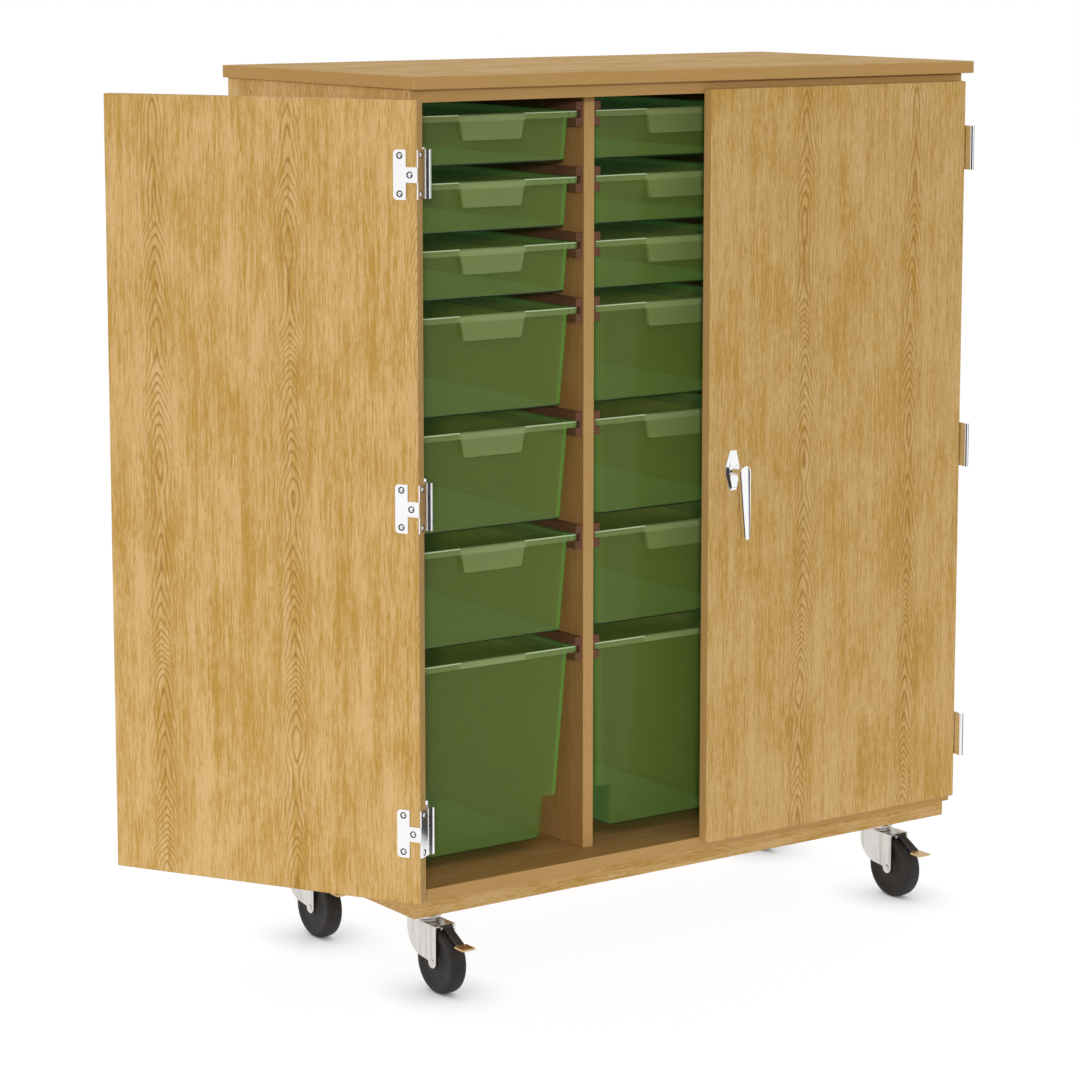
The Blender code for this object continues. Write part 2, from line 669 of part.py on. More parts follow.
def lever_lock():
    face = DOOR_FRONT - SEAT
    half_end = ROSE_END_WIDTH / 2
    half_wide = ROSE_WIDTH / 2
    half_high = ROSE_HEIGHT / 2
    outline = ((half_end, half_high), (half_wide, ROSE_END_WIDTH / 2), (half_wide, -ROSE_END_WIDTH / 2),
               (half_end, -half_high), (-half_end, -half_high), (-half_wide, -ROSE_END_WIDTH / 2),
               (-half_wide, ROSE_END_WIDTH / 2), (-half_end, half_high))
    place = Matrix.Translation((LEVER_X, face - ROSE_THICK / 2, LEVER_Z)) @ FACING_FRONT
    rose = plate("lever_rose", outline, ROSE_THICK, place, CHROME)
    rounded(rose, ROSE_ROUND, 2)
    cut(rose, rod("hole", (LEVER_X, face - ROSE_THICK - OVERRUN, LEVER_Z), (LEVER_X, face + OVERRUN, LEVER_Z),
                  SPINDLE_RADIUS + SPINDLE_CLEARANCE))

    tip = -LEVER_REACH
    shape = arc((0, 0), LEVER_HEAD_RADIUS, 0, 180, 2 * ARC_STEPS)
    shape += arc((0, tip + LEVER_TIP_RADIUS), LEVER_TIP_RADIUS, 180, 360, ARC_STEPS)
    middle = DOOR_FRONT - LEVER_STANDOFF
    place = Matrix.Translation((LEVER_X, middle, LEVER_Z)) @ FACING_FRONT
    lever = plate("lever_handle", shape, LEVER_THICK, place, CHROME)
    rounded(lever, LEVER_ROUND, 2)
    for vertex in lever.data.vertices:
        vertex.co.y -= LEVER_LEAN * max(LEVER_Z - vertex.co.z, 0) / LEVER_REACH
    neck_back = face - ROSE_THICK - SEAT
    cam_back = ROD_FRONT - SEAT
    cam_middle = cam_back - CAM_THICK / 2

    def shaft(tag, start, end, radius):
        return rod(tag, (LEVER_X, start, LEVER_Z), (LEVER_X, end, LEVER_Z), radius, CHROME, TURNED_STEPS)

    union(lever, shaft("neck", middle, neck_back, NECK_RADIUS),
          shaft("spindle", middle, cam_middle, SPINDLE_RADIUS),
          shaft("cam", cam_back - CAM_THICK, cam_back, CAM_RADIUS))
    pin_back = ROD_FRONT + ROD_THICK + SEAT
    for angle in (-CRANK_REST, math.pi - CRANK_REST):
        x = LEVER_X + CRANK_RADIUS * math.cos(angle)
        z = LEVER_Z + CRANK_RADIUS * math.sin(angle)
        union(lever, rod("crank_pin", (x, cam_middle, z), (x, pin_back, z), CRANK_PIN_RADIUS))
    smooth(lever)

    end = CRANK_RADIUS * math.sin(CRANK_REST) + CRANK_PIN_RADIUS + YOKE_CLEARANCE + ROD_TAIL
    latch_rod("latch_rod_upper", upper_rod_left(), LEVER_Z - end, CEILING - ROD_STOP, -CRANK_REST)
    latch_rod("latch_rod_lower", lower_rod_left(), FLOOR_TOP + ROD_STOP, LEVER_Z + end, math.pi - CRANK_REST)


# Casters, each drawn about its axle with the swivel axis a trail behind it
def wheel(name):
    half = WHEEL_WIDTH / 2
    bore = AXLE_RADIUS + AXLE_CLEARANCE
    shoulder = half - WHEEL_SHOULDER
    rim = WHEEL_RADIUS - WHEEL_RIM
    side = half - WHEEL_DISH
    lip = WHEEL_RADIUS - WHEEL_CROWN
    one_side = [(bore, half), (HUB_RADIUS, half), (HUB_RADIUS + WHEEL_DISH, side), (rim, side),
                (rim + WHEEL_DISH, half), (lip, half), (WHEEL_RADIUS - WHEEL_CROWN / 4, shoulder)]
    profile = one_side + [(WHEEL_RADIUS, 0)] + [(radius, -across) for radius, across in reversed(one_side)]
    piece = turned(name, profile, TYRE, WHEEL_STEPS, closed=True)
    piece.data.transform(Matrix.Rotation(math.radians(90), 4, "Y"))
    return smooth(piece)


def fork(name):
    """The bent sheet fork with its cup, kingpin, axle and the brake's ears; the axle is the origin."""
    half = FORK_INSIDE / 2
    outside = half + FORK_SHEET
    front = -FORK_TIP_RADIUS
    heel_end = FORK_HEEL_BACK + FORK_HEEL_RADIUS
    heel = arc((FORK_HEEL_BACK, FORK_HEEL_UP), FORK_HEEL_RADIUS, -80, 0)
    outline = [(front, FORK_TOP)] + arc((0, 0), FORK_TIP_RADIUS, 180, 360) + heel + [(heel_end, FORK_TOP)]
    piece = box(name, (-outside, front, FORK_TOP - FORK_SHEET), (outside, heel_end, FORK_TOP), STEEL)
    for middle in (-half - FORK_SHEET / 2, half + FORK_SHEET / 2):
        place = Matrix.Translation((middle, 0, 0)) @ FACING_SIDE
        union(piece, plate("leg", outline, FORK_SHEET, place, STEEL))
    union(piece, rod("axle", (-outside, 0, 0), (outside, 0, 0), AXLE_RADIUS))
    for side in (-1, 1):
        inner = (side * (outside - FORK_SHEET / 2), 0, 0)
        outer = (side * (outside + AXLE_HEAD_HEIGHT), 0, 0)
        union(piece, rod("head", inner, outer, AXLE_HEAD_RADIUS, STEEL, NUT_SIDES))
    cup_top = FORK_TOP + CUP_HEIGHT
    kingpin_top = cup_top + RACE_GAP + RACE_HEIGHT - KINGPIN_SPARE
    cup = turned("cup", [(0, kingpin_top), (KINGPIN_RADIUS, kingpin_top), (KINGPIN_RADIUS, cup_top),
                         (CUP_RADIUS, cup_top), (CUP_RADIUS, FORK_TOP - FORK_SHEET / 2),
                         (0, FORK_TOP - FORK_SHEET / 2)], STEEL)
    cup.data.transform(Matrix.Translation((0, TRAIL, 0)))
    union(piece, cup)
    ear_in = BRAKE_TUBE_LENGTH / 2 + SEAT
    ear_ahead = -BRAKE_PIVOT_AHEAD - BRAKE_TUBE_RADIUS
    for low in (-ear_in - BRAKE_EAR, ear_in):
        union(piece, box("ear", (low, ear_ahead, BRAKE_PIVOT_UP - BRAKE_TUBE_RADIUS),
                         (low + BRAKE_EAR, front + FORK_SHEET, FORK_TOP)))
    pin = ear_in + BRAKE_EAR / 2
    union(piece, rod("brake_pin", (-pin, -BRAKE_PIVOT_AHEAD, BRAKE_PIVOT_UP),
                     (pin, -BRAKE_PIVOT_AHEAD, BRAKE_PIVOT_UP), BRAKE_PIN_RADIUS, STEEL, PIN_STEPS))
    return piece


def brake(name):
    """The brake pedal: a tube on the fork's pin, an arm over the tread, a shoe and a foot tab."""
    pivot = (-BRAKE_PIVOT_AHEAD, BRAKE_PIVOT_UP)
    half_tube = BRAKE_TUBE_LENGTH / 2
    piece = rod(name, (-half_tube, *pivot), (half_tube, *pivot), BRAKE_TUBE_RADIUS)
    start = (-PEDAL_START_AHEAD, PEDAL_START_UP)
    lower = BRAKE_ARM / 2
    strap = ((pivot[0], pivot[1] - lower), (pivot[0], pivot[1] + lower), (start[0] - lower, start[1] + lower),
             (start[0] - lower, start[1] - lower), (start[0] + lower, start[1] - lower))
    union(piece, plate("arm", strap, BRAKE_ARM_WIDTH, FACING_SIDE, STEEL))
    pedal = ((start[0] + lower, start[1] - lower), (start[0] + lower, start[1] + lower),
             (-PEDAL_END_AHEAD, PEDAL_END_UP + lower), (-PEDAL_END_AHEAD, PEDAL_END_UP - lower))
    union(piece, plate("pedal", pedal, PEDAL_WIDTH, FACING_SIDE, STEEL))
    shoe_far = BRAKE_SHOE_AHEAD + BRAKE_SHOE_LENGTH / 2
    shoe_near = BRAKE_SHOE_AHEAD - BRAKE_SHOE_LENGTH / 2
    reach = WHEEL_RADIUS + BRAKE_SHOE_GAP

    def arm_height(ahead):
        share = (ahead - BRAKE_PIVOT_AHEAD) / (PEDAL_START_AHEAD - BRAKE_PIVOT_AHEAD)
        return BRAKE_PIVOT_UP + share * (PEDAL_START_UP - BRAKE_PIVOT_UP)

    shoe = [(-shoe_far, arm_height(shoe_far)), (-shoe_near, arm_height(shoe_near))]
    for ahead in (shoe_near, BRAKE_SHOE_AHEAD, shoe_far):
        shoe.append((-ahead, math.sqrt(reach ** 2 - ahead ** 2)))
    union(piece, plate("shoe", shoe, BRAKE_SHOE_WIDTH, FACING_SIDE, STEEL))
    pin_hole = BRAKE_PIN_RADIUS + BRAKE_PIN_CLEARANCE
    past = half_tube + OVERRUN
    cut(piece, rod("bore", (-past, *pivot), (past, *pivot), pin_hole, STEEL, PIN_STEPS))
    return piece


def casters():
    """Four casters under the base board, whose plates and upper races are part of the base."""
    base = box("caster_base", (BASE_SIDE_INSET, BASE_FRONT_INSET, BASE_BOTTOM),
               (WIDTH - BASE_SIDE_INSET, CARCASS_DEPTH - BASE_SIDE_INSET, BASE_TOP))
    lefts = (("left", CASTER_SIDE_INSET), ("right", WIDTH - CASTER_SIDE_INSET))
    fronts = (("front", CASTER_END_INSET), ("rear", CARCASS_DEPTH - CASTER_END_INSET))
    patterns = (fork("fork_pattern"), wheel("wheel_pattern"), brake("brake_pattern"))
    race_top = BASE_BOTTOM - PLATE_THICK / 2
    for side, x in lefts:
        for end, y in fronts:
            spot = bpy.data.objects.new(f"caster_{end}_{side}", None)
            parts.objects.link(spot)
            spot.location = (x, y - TRAIL, WHEEL_RADIUS)
            for kind, pattern in zip(("fork", "wheel", "brake"), patterns):
                piece = bpy.data.objects.new(f"{kind}_{end}_{side}", pattern.data)
                parts.objects.link(piece)
                piece.parent = spot
            half_wide = PLATE_WIDTH / 2
            half_long = PLATE_LENGTH / 2
            plate_low = BASE_BOTTOM - PLATE_THICK
            union(base, box("plate", (x - half_wide, y - half_long, plate_low),
                            (x + half_wide, y + half_long, BASE_BOTTOM + PLATE_THICK / 2)))
            race = turned("race", [(0, race_top), (RACE_TOP_RADIUS, race_top), (RACE_TOP_RADIUS, plate_low),
                                   (RACE_RADIUS, (plate_low + RACE_BOTTOM) / 2), (RACE_RADIUS, RACE_BOTTOM),
                                   (0, RACE_BOTTOM)], STEEL)
            race.data.transform(Matrix.Translation((x, y, 0)))
            union(base, race)
            cut(base, rod("kingpin_bore", (x, y, RACE_BOTTOM - OVERRUN), (x, y, plate_low - SEAT),
                          KINGPIN_RADIUS + KINGPIN_CLEARANCE))
    for pattern in patterns:
        bpy.data.objects.remove(pattern, do_unlink=True)


def centre_part():
    """Hang everything on one empty, moved so that the footprint's middle is the origin."""
    bpy.context.view_layer.update()
    corners = []
    for piece in parts.objects:
        if piece.type == "MESH":
            corners += [piece.matrix_world @ Vector(corner) for corner in piece.bound_box]
    middle = [(min(c[axis] for c in corners) + max(c[axis] for c in corners)) / 2 for axis in (0, 1)]
    root = bpy.data.objects.new("cabinet_root", None)
    parts.objects.link(root)
    root.location = (-middle[0], -middle[1], 0)
    for piece in parts.objects:
        if piece.parent is None and piece is not root:
            piece.parent = root
    bpy.context.view_layer.update()


carcass()
trays()
doors()
lever_lock()
casters()
centre_part()
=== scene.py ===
from contextlib import contextmanager
from functools import partialmethod
from math import cos, pi, radians, sin, sqrt, tan

import bmesh
import bpy
from mathutils import Matrix, Vector


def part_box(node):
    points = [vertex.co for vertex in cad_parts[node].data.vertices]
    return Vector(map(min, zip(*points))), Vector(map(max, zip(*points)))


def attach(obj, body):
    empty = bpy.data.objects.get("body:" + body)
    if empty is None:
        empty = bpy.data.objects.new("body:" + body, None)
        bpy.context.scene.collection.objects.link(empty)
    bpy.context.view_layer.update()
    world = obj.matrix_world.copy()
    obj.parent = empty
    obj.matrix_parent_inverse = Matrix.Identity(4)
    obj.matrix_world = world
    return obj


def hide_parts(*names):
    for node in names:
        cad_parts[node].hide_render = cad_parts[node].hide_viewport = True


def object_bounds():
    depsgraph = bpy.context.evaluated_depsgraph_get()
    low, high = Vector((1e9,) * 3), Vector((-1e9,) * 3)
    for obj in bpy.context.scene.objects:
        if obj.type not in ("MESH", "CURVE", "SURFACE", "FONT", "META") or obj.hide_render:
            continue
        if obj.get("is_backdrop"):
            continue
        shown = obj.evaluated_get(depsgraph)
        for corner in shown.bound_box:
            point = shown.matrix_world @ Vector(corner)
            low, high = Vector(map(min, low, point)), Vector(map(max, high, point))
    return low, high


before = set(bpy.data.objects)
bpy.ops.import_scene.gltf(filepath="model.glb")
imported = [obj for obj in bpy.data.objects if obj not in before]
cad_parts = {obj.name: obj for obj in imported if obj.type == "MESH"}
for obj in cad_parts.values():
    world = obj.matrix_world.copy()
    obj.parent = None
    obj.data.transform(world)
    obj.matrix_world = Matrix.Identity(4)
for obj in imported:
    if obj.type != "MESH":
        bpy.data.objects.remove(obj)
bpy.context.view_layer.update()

# Lengths are in metres.  The carcass frame has x = 0 at the left side's outer face and y = 0 at the side
# panels' front edges; SHIFT moves it to the frame that the solids are in.
side_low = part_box("side_left")[0]
SHIFT = Vector((side_low.x, side_low.y, 0))
TO_FRAME = Matrix.Translation(SHIFT)
IDENTITY = Matrix.Identity(4)
FACING_FRONT = Matrix(((1, 0, 0, 0), (0, 0, -1, 0), (0, 1, 0, 0), (0, 0, 0, 1)))
FACING_SIDE = Matrix(((0, 0, 1, 0), (1, 0, 0, 0), (0, 1, 0, 0), (0, 0, 0, 1)))
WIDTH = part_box("side_right")[1].x - side_low.x
BOARD = 0.019
SEAT = 0.0003  # fitted pieces stand this far off the face they are on

# Veneer: the runs of figure repeat at this spacing, and one passes through here on each door
FIGURE_SPACING = 0.220
RIGHT_DOOR_RUN = 0.3230
LEFT_DOOR_RUN = 0.2080

# Doors and hinges
DOOR_INSET = 0.009
DOOR_BACK = -0.0026
OPEN_DEGREES = 239.6
AXIS_X = 0.0065
AXIS_Y = -0.0343
LEAF = 0.002
KNUCKLES = 5
KNUCKLE_LENGTH = 0.014
KNUCKLE_GAP = 0.0003
HINGE_HALF = KNUCKLES * KNUCKLE_LENGTH / 2
BARREL_RADIUS = 0.0046
BARREL_CLEAR = AXIS_Y + BARREL_RADIUS + 0.0004
PIN_RADIUS = 0.0021
BORE_RADIUS = 0.0025
STRAP_HALF = 0.011
BAR_LEFT = 0.025
BAR_WIDTH = 0.020
BAR_HEIGHT = 0.071
TAB_HEIGHT = 0.018
FLANGE_DEPTH = 0.036

# Screws: radius, height and recess of the heads, and of the black ring under each head, which is painted
# shade standing in for the shadow in its countersink
COUNTERSINK_RADIUS = 0.0051
DOMED = (0.0035, 0.0018, 0.0007)
LOW = (0.0035, 0.0011, 0.0007)
SHADE_RING = (0.0050, 0.0004, 0.0002)
PLATE_BOLT = (0.0046, 0.0022, 0.0010)

# Trays
TRAY_WALL = 0.0022
LIP_DROP = 0.010
SIDE_INSET = 0.011
FRONT_INSET = 0.006
GRIP_PROUD = 0.001
GRIP_HALF = 0.059
GRIP_DROP = LIP_DROP + 0.028
DRAFT = 0.056
JUMBO_FOOT = 0.067
FOOT_STEP = 0.024
FOOT_RIBS = (0.0545, 0.0590, 0.0665, 0.0715, 0.0790)

# Casters
WHEEL_RADIUS = 0.050
WHEEL_HALF = 0.014
TRAIL = 0.0395
FORK_INSIDE = 0.0306
FORK_SHEET = 0.003
FORK_TOP = 0.0565
BRAKE_PIVOT = (-0.0135, 0.0545)
CASTER_PLATE = 0.003


# Shader arithmetic
class Flow:
    """An output socket; arithmetic on it adds the Math nodes that work it out."""

    def __init__(self, finish, socket):
        self.finish = finish
        self.socket = socket

    def math(self, operation, *others):
        return self.finish.node("Math", {"operation": operation}, self, *others)

    def __rsub__(self, other):
        return self.finish.node("Math", {"operation": "SUBTRACT"}, other, self)

    __add__ = __radd__ = partialmethod(math, "ADD")
    __sub__ = partialmethod(math, "SUBTRACT")
    __mul__ = __rmul__ = partialmethod(math, "MULTIPLY")
    __truediv__ = partialmethod(math, "DIVIDE")
    __pow__ = partialmethod(math, "POWER")
    __gt__ = partialmethod(math, "GREATER_THAN")
    __lt__ = partialmethod(math, "LESS_THAN")
    __abs__ = partialmethod(math, "ABSOLUTE")

    def clamp(self):
        return self.finish.node("Clamp", {}, self)

    def other(self, name):
        """Another output of the same node."""
        return Flow(self.finish, self.socket.node.outputs[name])


class Nodes:
    """A node tree built by calls; what they take are numbers, colours or flows."""

    def __init__(self, tree):
        self.tree = tree

    def feed(self, socket, value):
        if isinstance(value, Flow):
            self.tree.links.new(value.socket, socket)
        elif isinstance(value, (tuple, list)) and len(value) == 3 and socket.type == "RGBA":
            socket.default_value = (*value, 1.0)
        else:
            socket.default_value = value

    def node(self, kind, settings, *values, **named):
        made = self.tree.nodes.new(kind if "Node" in kind else "ShaderNode" + kind)
        for key, value in settings.items():
            setattr(made, key, value)
        for socket, value in zip([s for s in made.inputs if s.enabled], values):
            self.feed(socket, value)
        for key, value in named.items():
            self.feed(made.inputs[key.replace("_", " ")], value)
        return Flow(self, next(s for s in made.outputs if s.enabled))

    def split(self, place):
        made = self.node("SeparateXYZ", {}, place)
        return made.other("X"), made.other("Y"), made.other("Z")

    def join(self, x, y, z):
        return self.node("CombineXYZ", {}, x, y, z)


class Finish(Nodes):
    """A material on the Principled shader."""

    def __init__(self, name):
        self.material = bpy.data.materials.new(name)
        self.material.use_nodes = True
        super().__init__(self.material.node_tree)
        self.shader = self.tree.nodes["Principled BSDF"]
        self.place = self.node("TexCoord", {}).other("Object")

    def noise(self, place, factors, detail=2.0, rough=0.5):
        stretched = self.node("VectorMath", {"operation": "MULTIPLY"}, place, Vector(factors))
        return self.node("TexNoise", {}, Vector=stretched, Scale=1.0, Detail=detail, Roughness=rough)

    def blend(self, factor, first, second):
        made = self.node("Mix", {"data_type": "RGBA"}).socket.node
        sockets = {s.identifier: s for s in made.inputs}
        self.feed(sockets["Factor_Float"], factor)
        self.feed(sockets["A_Color"], first)
        self.feed(sockets["B_Color"], second)
        return Flow(self, next(s for s in made.outputs if s.identifier == "Result_Color"))

    def turned(self, vector, angle, kind):
        """A point or a normal turned about Z."""
        return self.node("Mapping", {"vector_type": kind}, Vector=vector, Rotation=(0, 0, angle))

    def noted(self, name, output="Fac"):
        return self.node("Attribute", {"attribute_name": name}).other(output)

    def bump(self, height, strength, distance):
        return self.node("Bump", {}, Strength=strength, Distance=distance, Height=height)

    def finish(self, **inputs):
        for key, value in inputs.items():
            self.feed(self.shader.inputs[key.replace("_", " ")], value)
        return self.material

    def veil(self, tint, share):
        """Let light through: the finish covers this share of the surface, and a tint colours the rest."""
        clear = self.node("BsdfTransparent", {}, Color=tint)
        solid = Flow(self, self.shader.outputs["BSDF"])
        mixed = self.node("MixShader", {}, share, clear, solid)
        self.tree.links.new(mixed.socket, self.tree.nodes["Material Output"].inputs["Surface"])
        return self.material


def linear(red, green, blue):
    """A colour given as 0 to 255 on screen, as the shader takes it."""
    return tuple(((value / 255 + 0.055) / 1.055) ** 2.4 for value in (red, green, blue))


def darker(colour, share):
    return tuple(share * part for part in colour)


OAK_PALE = linear(219, 182, 124)
OAK_GOLD = linear(189, 147, 68)
OAK_LINE = linear(160, 116, 48)
OAK_EDGE = linear(200, 158, 98)
# The deeper, redder tone painted on inner faces as shade
OAK_INNER_SHADE = linear(170, 118, 70)
STEEL_COLOUR = (0.62, 0.60, 0.57)
TRAY_PALE = linear(176, 188, 112)
TRAY_DEEP = linear(134, 152, 78)
TRAY_TINT = (0.86, 0.94, 0.71)


# Finishes
def oak_colour(wood, place, along="Z", face="Y", edge_tone=0.85, figured=1.0, run=0.0, turn=0.0, inner=0.0,
               outside=0):
    """Oak veneer: short fibres, golden streaks and chevron figure on its faces, plain banding on its edges.

    inner is how far faces take a painted shade, the deeper tone of the carcass's shaded inside, but not one
    that looks the way of outside, -1 or 1.  Gives the colour, the fibres and a height for bump.
    """
    axes = dict(zip("XYZ", wood.split(place)))
    length = axes[along]
    across = next(axes[name] for name in "XYZ" if name not in (along, face))
    grain = wood.join(across, axes[face], length)
    waver = wood.noise(grain, (3.0, 3.0, 2.1)) - 0.5
    runs = (across - run + 0.024 * waver) / FIGURE_SPACING + 0.5
    off_middle = (runs.math("FRACT") - 0.5) * FIGURE_SPACING
    drift = wood.noise(wood.join(runs.math("FLOOR") * 7.3, 0.0, length), (1.0, 1.0, 3.4), 1.5)
    ragged = wood.noise(grain, (90.0, 90.0, 28.0)) - 0.5
    squared = off_middle * off_middle
    spread = (squared + 0.000003).math("SQRT") * 105.0 + squared * 1500.0
    ring = spread + length * 40.0 + drift * 30.0 + ragged * 0.9
    wave = (ring * (2 * pi)).math("SINE") * 0.5 + 0.5
    near = (squared * -2600.0).math("EXPONENT")
    broken = wood.noise(grain, (120.0, 120.0, 40.0))
    lines = wave ** 4.0 * (near * 0.94 + 0.05) * (broken * 1.1 + 0.25) * figured
    speck = wood.noise(grain, (560.0, 560.0, 60.0), 3.0, 0.7)
    fibre = wood.noise(grain, (300.0, 300.0, 17.0), 3.0, 0.65)
    streak = wood.noise(grain, (60.0, 60.0, 2.2), 3.0, 0.6)
    cloud = wood.noise(grain, (13.0, 13.0, 7.0), 3.0, 0.6)
    golden = (speck - 0.5) * 2.7 + (fibre - 0.5) * 2.4 + (streak - 0.5) * 1.5 + (cloud - 0.5) * 1.7 + 0.46
    colour = wood.blend(golden.clamp(), OAK_PALE, OAK_GOLD)
    colour = wood.blend(lines.clamp(), colour, OAK_LINE)
    if edge_tone:
        normal = wood.node("NewGeometry", {}).other("Normal")
        if turn:
            normal = wood.turned(normal, turn, "NORMAL")
        facing = dict(zip("XYZ", wood.split(normal)))[face]
        banding = wood.blend(fibre * 0.8 + speck * 0.2, OAK_EDGE, darker(OAK_EDGE, 0.82))
        edge = abs(facing) < 0.5
        colour = wood.blend(edge * edge_tone, colour, banding)
        if inner:
            inner = (1.0 - edge) * inner
        if outside:
            inner = (facing * outside < 0.5) * inner
    # Painted shade: faces turned inside take a deeper, redder tone in place of the shade inside the carcass.
    if inner:
        colour = wood.blend(inner, colour, wood.blend(fibre, OAK_INNER_SHADE, darker(OAK_INNER_SHADE, 0.80)))
    return colour, fibre, speck * 0.5 + fibre * 0.5 - lines * 0.4


def lacquered(wood, colour, fibre, height, rough=0.50, gloss=0.2, **more):
    """Finish veneer, whose fibres show in its lustre."""
    return wood.finish(Base_Color=colour, Roughness=rough + (fibre - 0.5) * 0.16, Specular_IOR_Level=gloss,
                       Normal=wood.bump(height, 0.12, 0.0004), **more)


def oak(name, turn=0.0, gloss=0.2, **grain):
    wood = Finish(name)
    place = wood.turned(wood.place, turn, "POINT") if turn else wood.place
    return lacquered(wood, *oak_colour(wood, place, turn=turn, **grain), 0.52, gloss)


def oak_with_runners(name, middle, outside):
    """Upright veneer with painted shade, a deeper tone, on its inner faces, and brown moulded plastic where
    runners stand proud of it.
    """
    wood = Finish(name)
    colour, fibre, height = oak_colour(wood, wood.place, face="X", inner=0.75, outside=outside)
    proud = abs(wood.split(wood.place)[0] - middle) > BOARD / 2 + SEAT
    mottle = wood.noise(wood.place, (90.0, 90.0, 90.0), 3.0)
    plastic = wood.blend(mottle, linear(122, 84, 62), linear(96, 62, 44))
    return lacquered(wood, wood.blend(proud, colour, plastic), fibre, height * (1.0 - proud),
                     0.50 - proud * 0.12)


def oak_with_staples(name, back, run):
    """Door veneer, and bright steel where the latch rods' staples stand out of its back."""
    wood = Finish(name)
    colour, fibre, height = oak_colour(wood, wood.place, run=run)
    proud = wood.split(wood.place)[1] > back + SEAT
    return lacquered(wood, wood.blend(proud, colour, STEEL_COLOUR), fibre, height * (1.0 - proud),
                     0.50 - proud * 0.2, Metallic=proud * 1.0)


def chrome_finish(name):
    """Polished plate with faint wiping marks."""
    plating = Finish(name)
    haze = plating.noise(plating.place, (60.0, 60.0, 60.0), 3.0)
    marks = plating.noise(plating.place, (900.0, 900.0, 120.0))
    colour = plating.blend(haze, (0.95, 0.95, 0.955), (0.90, 0.90, 0.91))
    return plating.finish(Base_Color=colour, Metallic=1.0, Roughness=0.04 + haze * 0.04 + marks * 0.02,
                          Normal=plating.bump(haze, 0.02, 0.0003))


def steel_finish(name, colour, rough):
    """Bright zinc plate with upright clouds in its lustre, a soft mottle, and dark upright bands of painted
    reflection.
    """
    plating = Finish(name)
    rolled = plating.noise(plating.place, (40.0, 40.0, 1400.0), 3.0, 0.65)
    painted_reflection_bands = plating.noise(plating.place, (150.0, 150.0, 6.0))
    mottle = plating.noise(plating.place, (55.0, 55.0, 55.0), 3.0)
    shade = plating.blend(mottle, colour, darker(colour, 0.82))
    # Painted reflection: dark upright bands standing in for dark studio edges mirrored in the plate.
    shade = plating.blend(((painted_reflection_bands - 0.46) * 5.0).clamp() * 0.55, shade, darker(colour, 0.5))
    return plating.finish(Base_Color=shade, Metallic=1.0, Roughness=rough + rolled * 0.10 + mottle * 0.05,
                          Normal=plating.bump(rolled, 0.05, 0.0002))


def rubber_finish(name):
    """Hard black rubber, a little grey where it has rolled."""
    rubber = Finish(name)
    grain = rubber.noise(rubber.place, (500.0, 500.0, 500.0), 3.0, 0.6)
    dust = rubber.noise(rubber.place, (35.0, 35.0, 35.0), 3.0, 0.6)
    colour = rubber.blend(dust, (0.014, 0.012, 0.011), (0.026, 0.023, 0.021))
    return rubber.finish(Base_Color=colour, Roughness=0.50 + grain * 0.2, Specular_IOR_Level=0.35,
                         Normal=rubber.bump(grain, 0.10, 0.0003))


def pedal_finish(name):
    """Black arm and shoe, and a yellow zinc foot tab at the end."""
    metal = Finish(name)
    tab = metal.noted("pedal_share") > 0.96
    grain = metal.noise(metal.place, (300.0, 300.0, 300.0), 3.0, 0.6)
    cloud = metal.noise(metal.place, (70.0, 70.0, 70.0), 3.0)
    black = metal.blend(grain, (0.020, 0.018, 0.017), (0.034, 0.031, 0.029))
    zinc = metal.blend(cloud, (0.74, 0.50, 0.25), (0.55, 0.36, 0.17))
    return metal.finish(Base_Color=metal.blend(tab, black, zinc), Metallic=tab * 1.0,
                        Roughness=0.45 + grain * 0.1 - tab * 0.22, Normal=metal.bump(grain, 0.06, 0.0002))


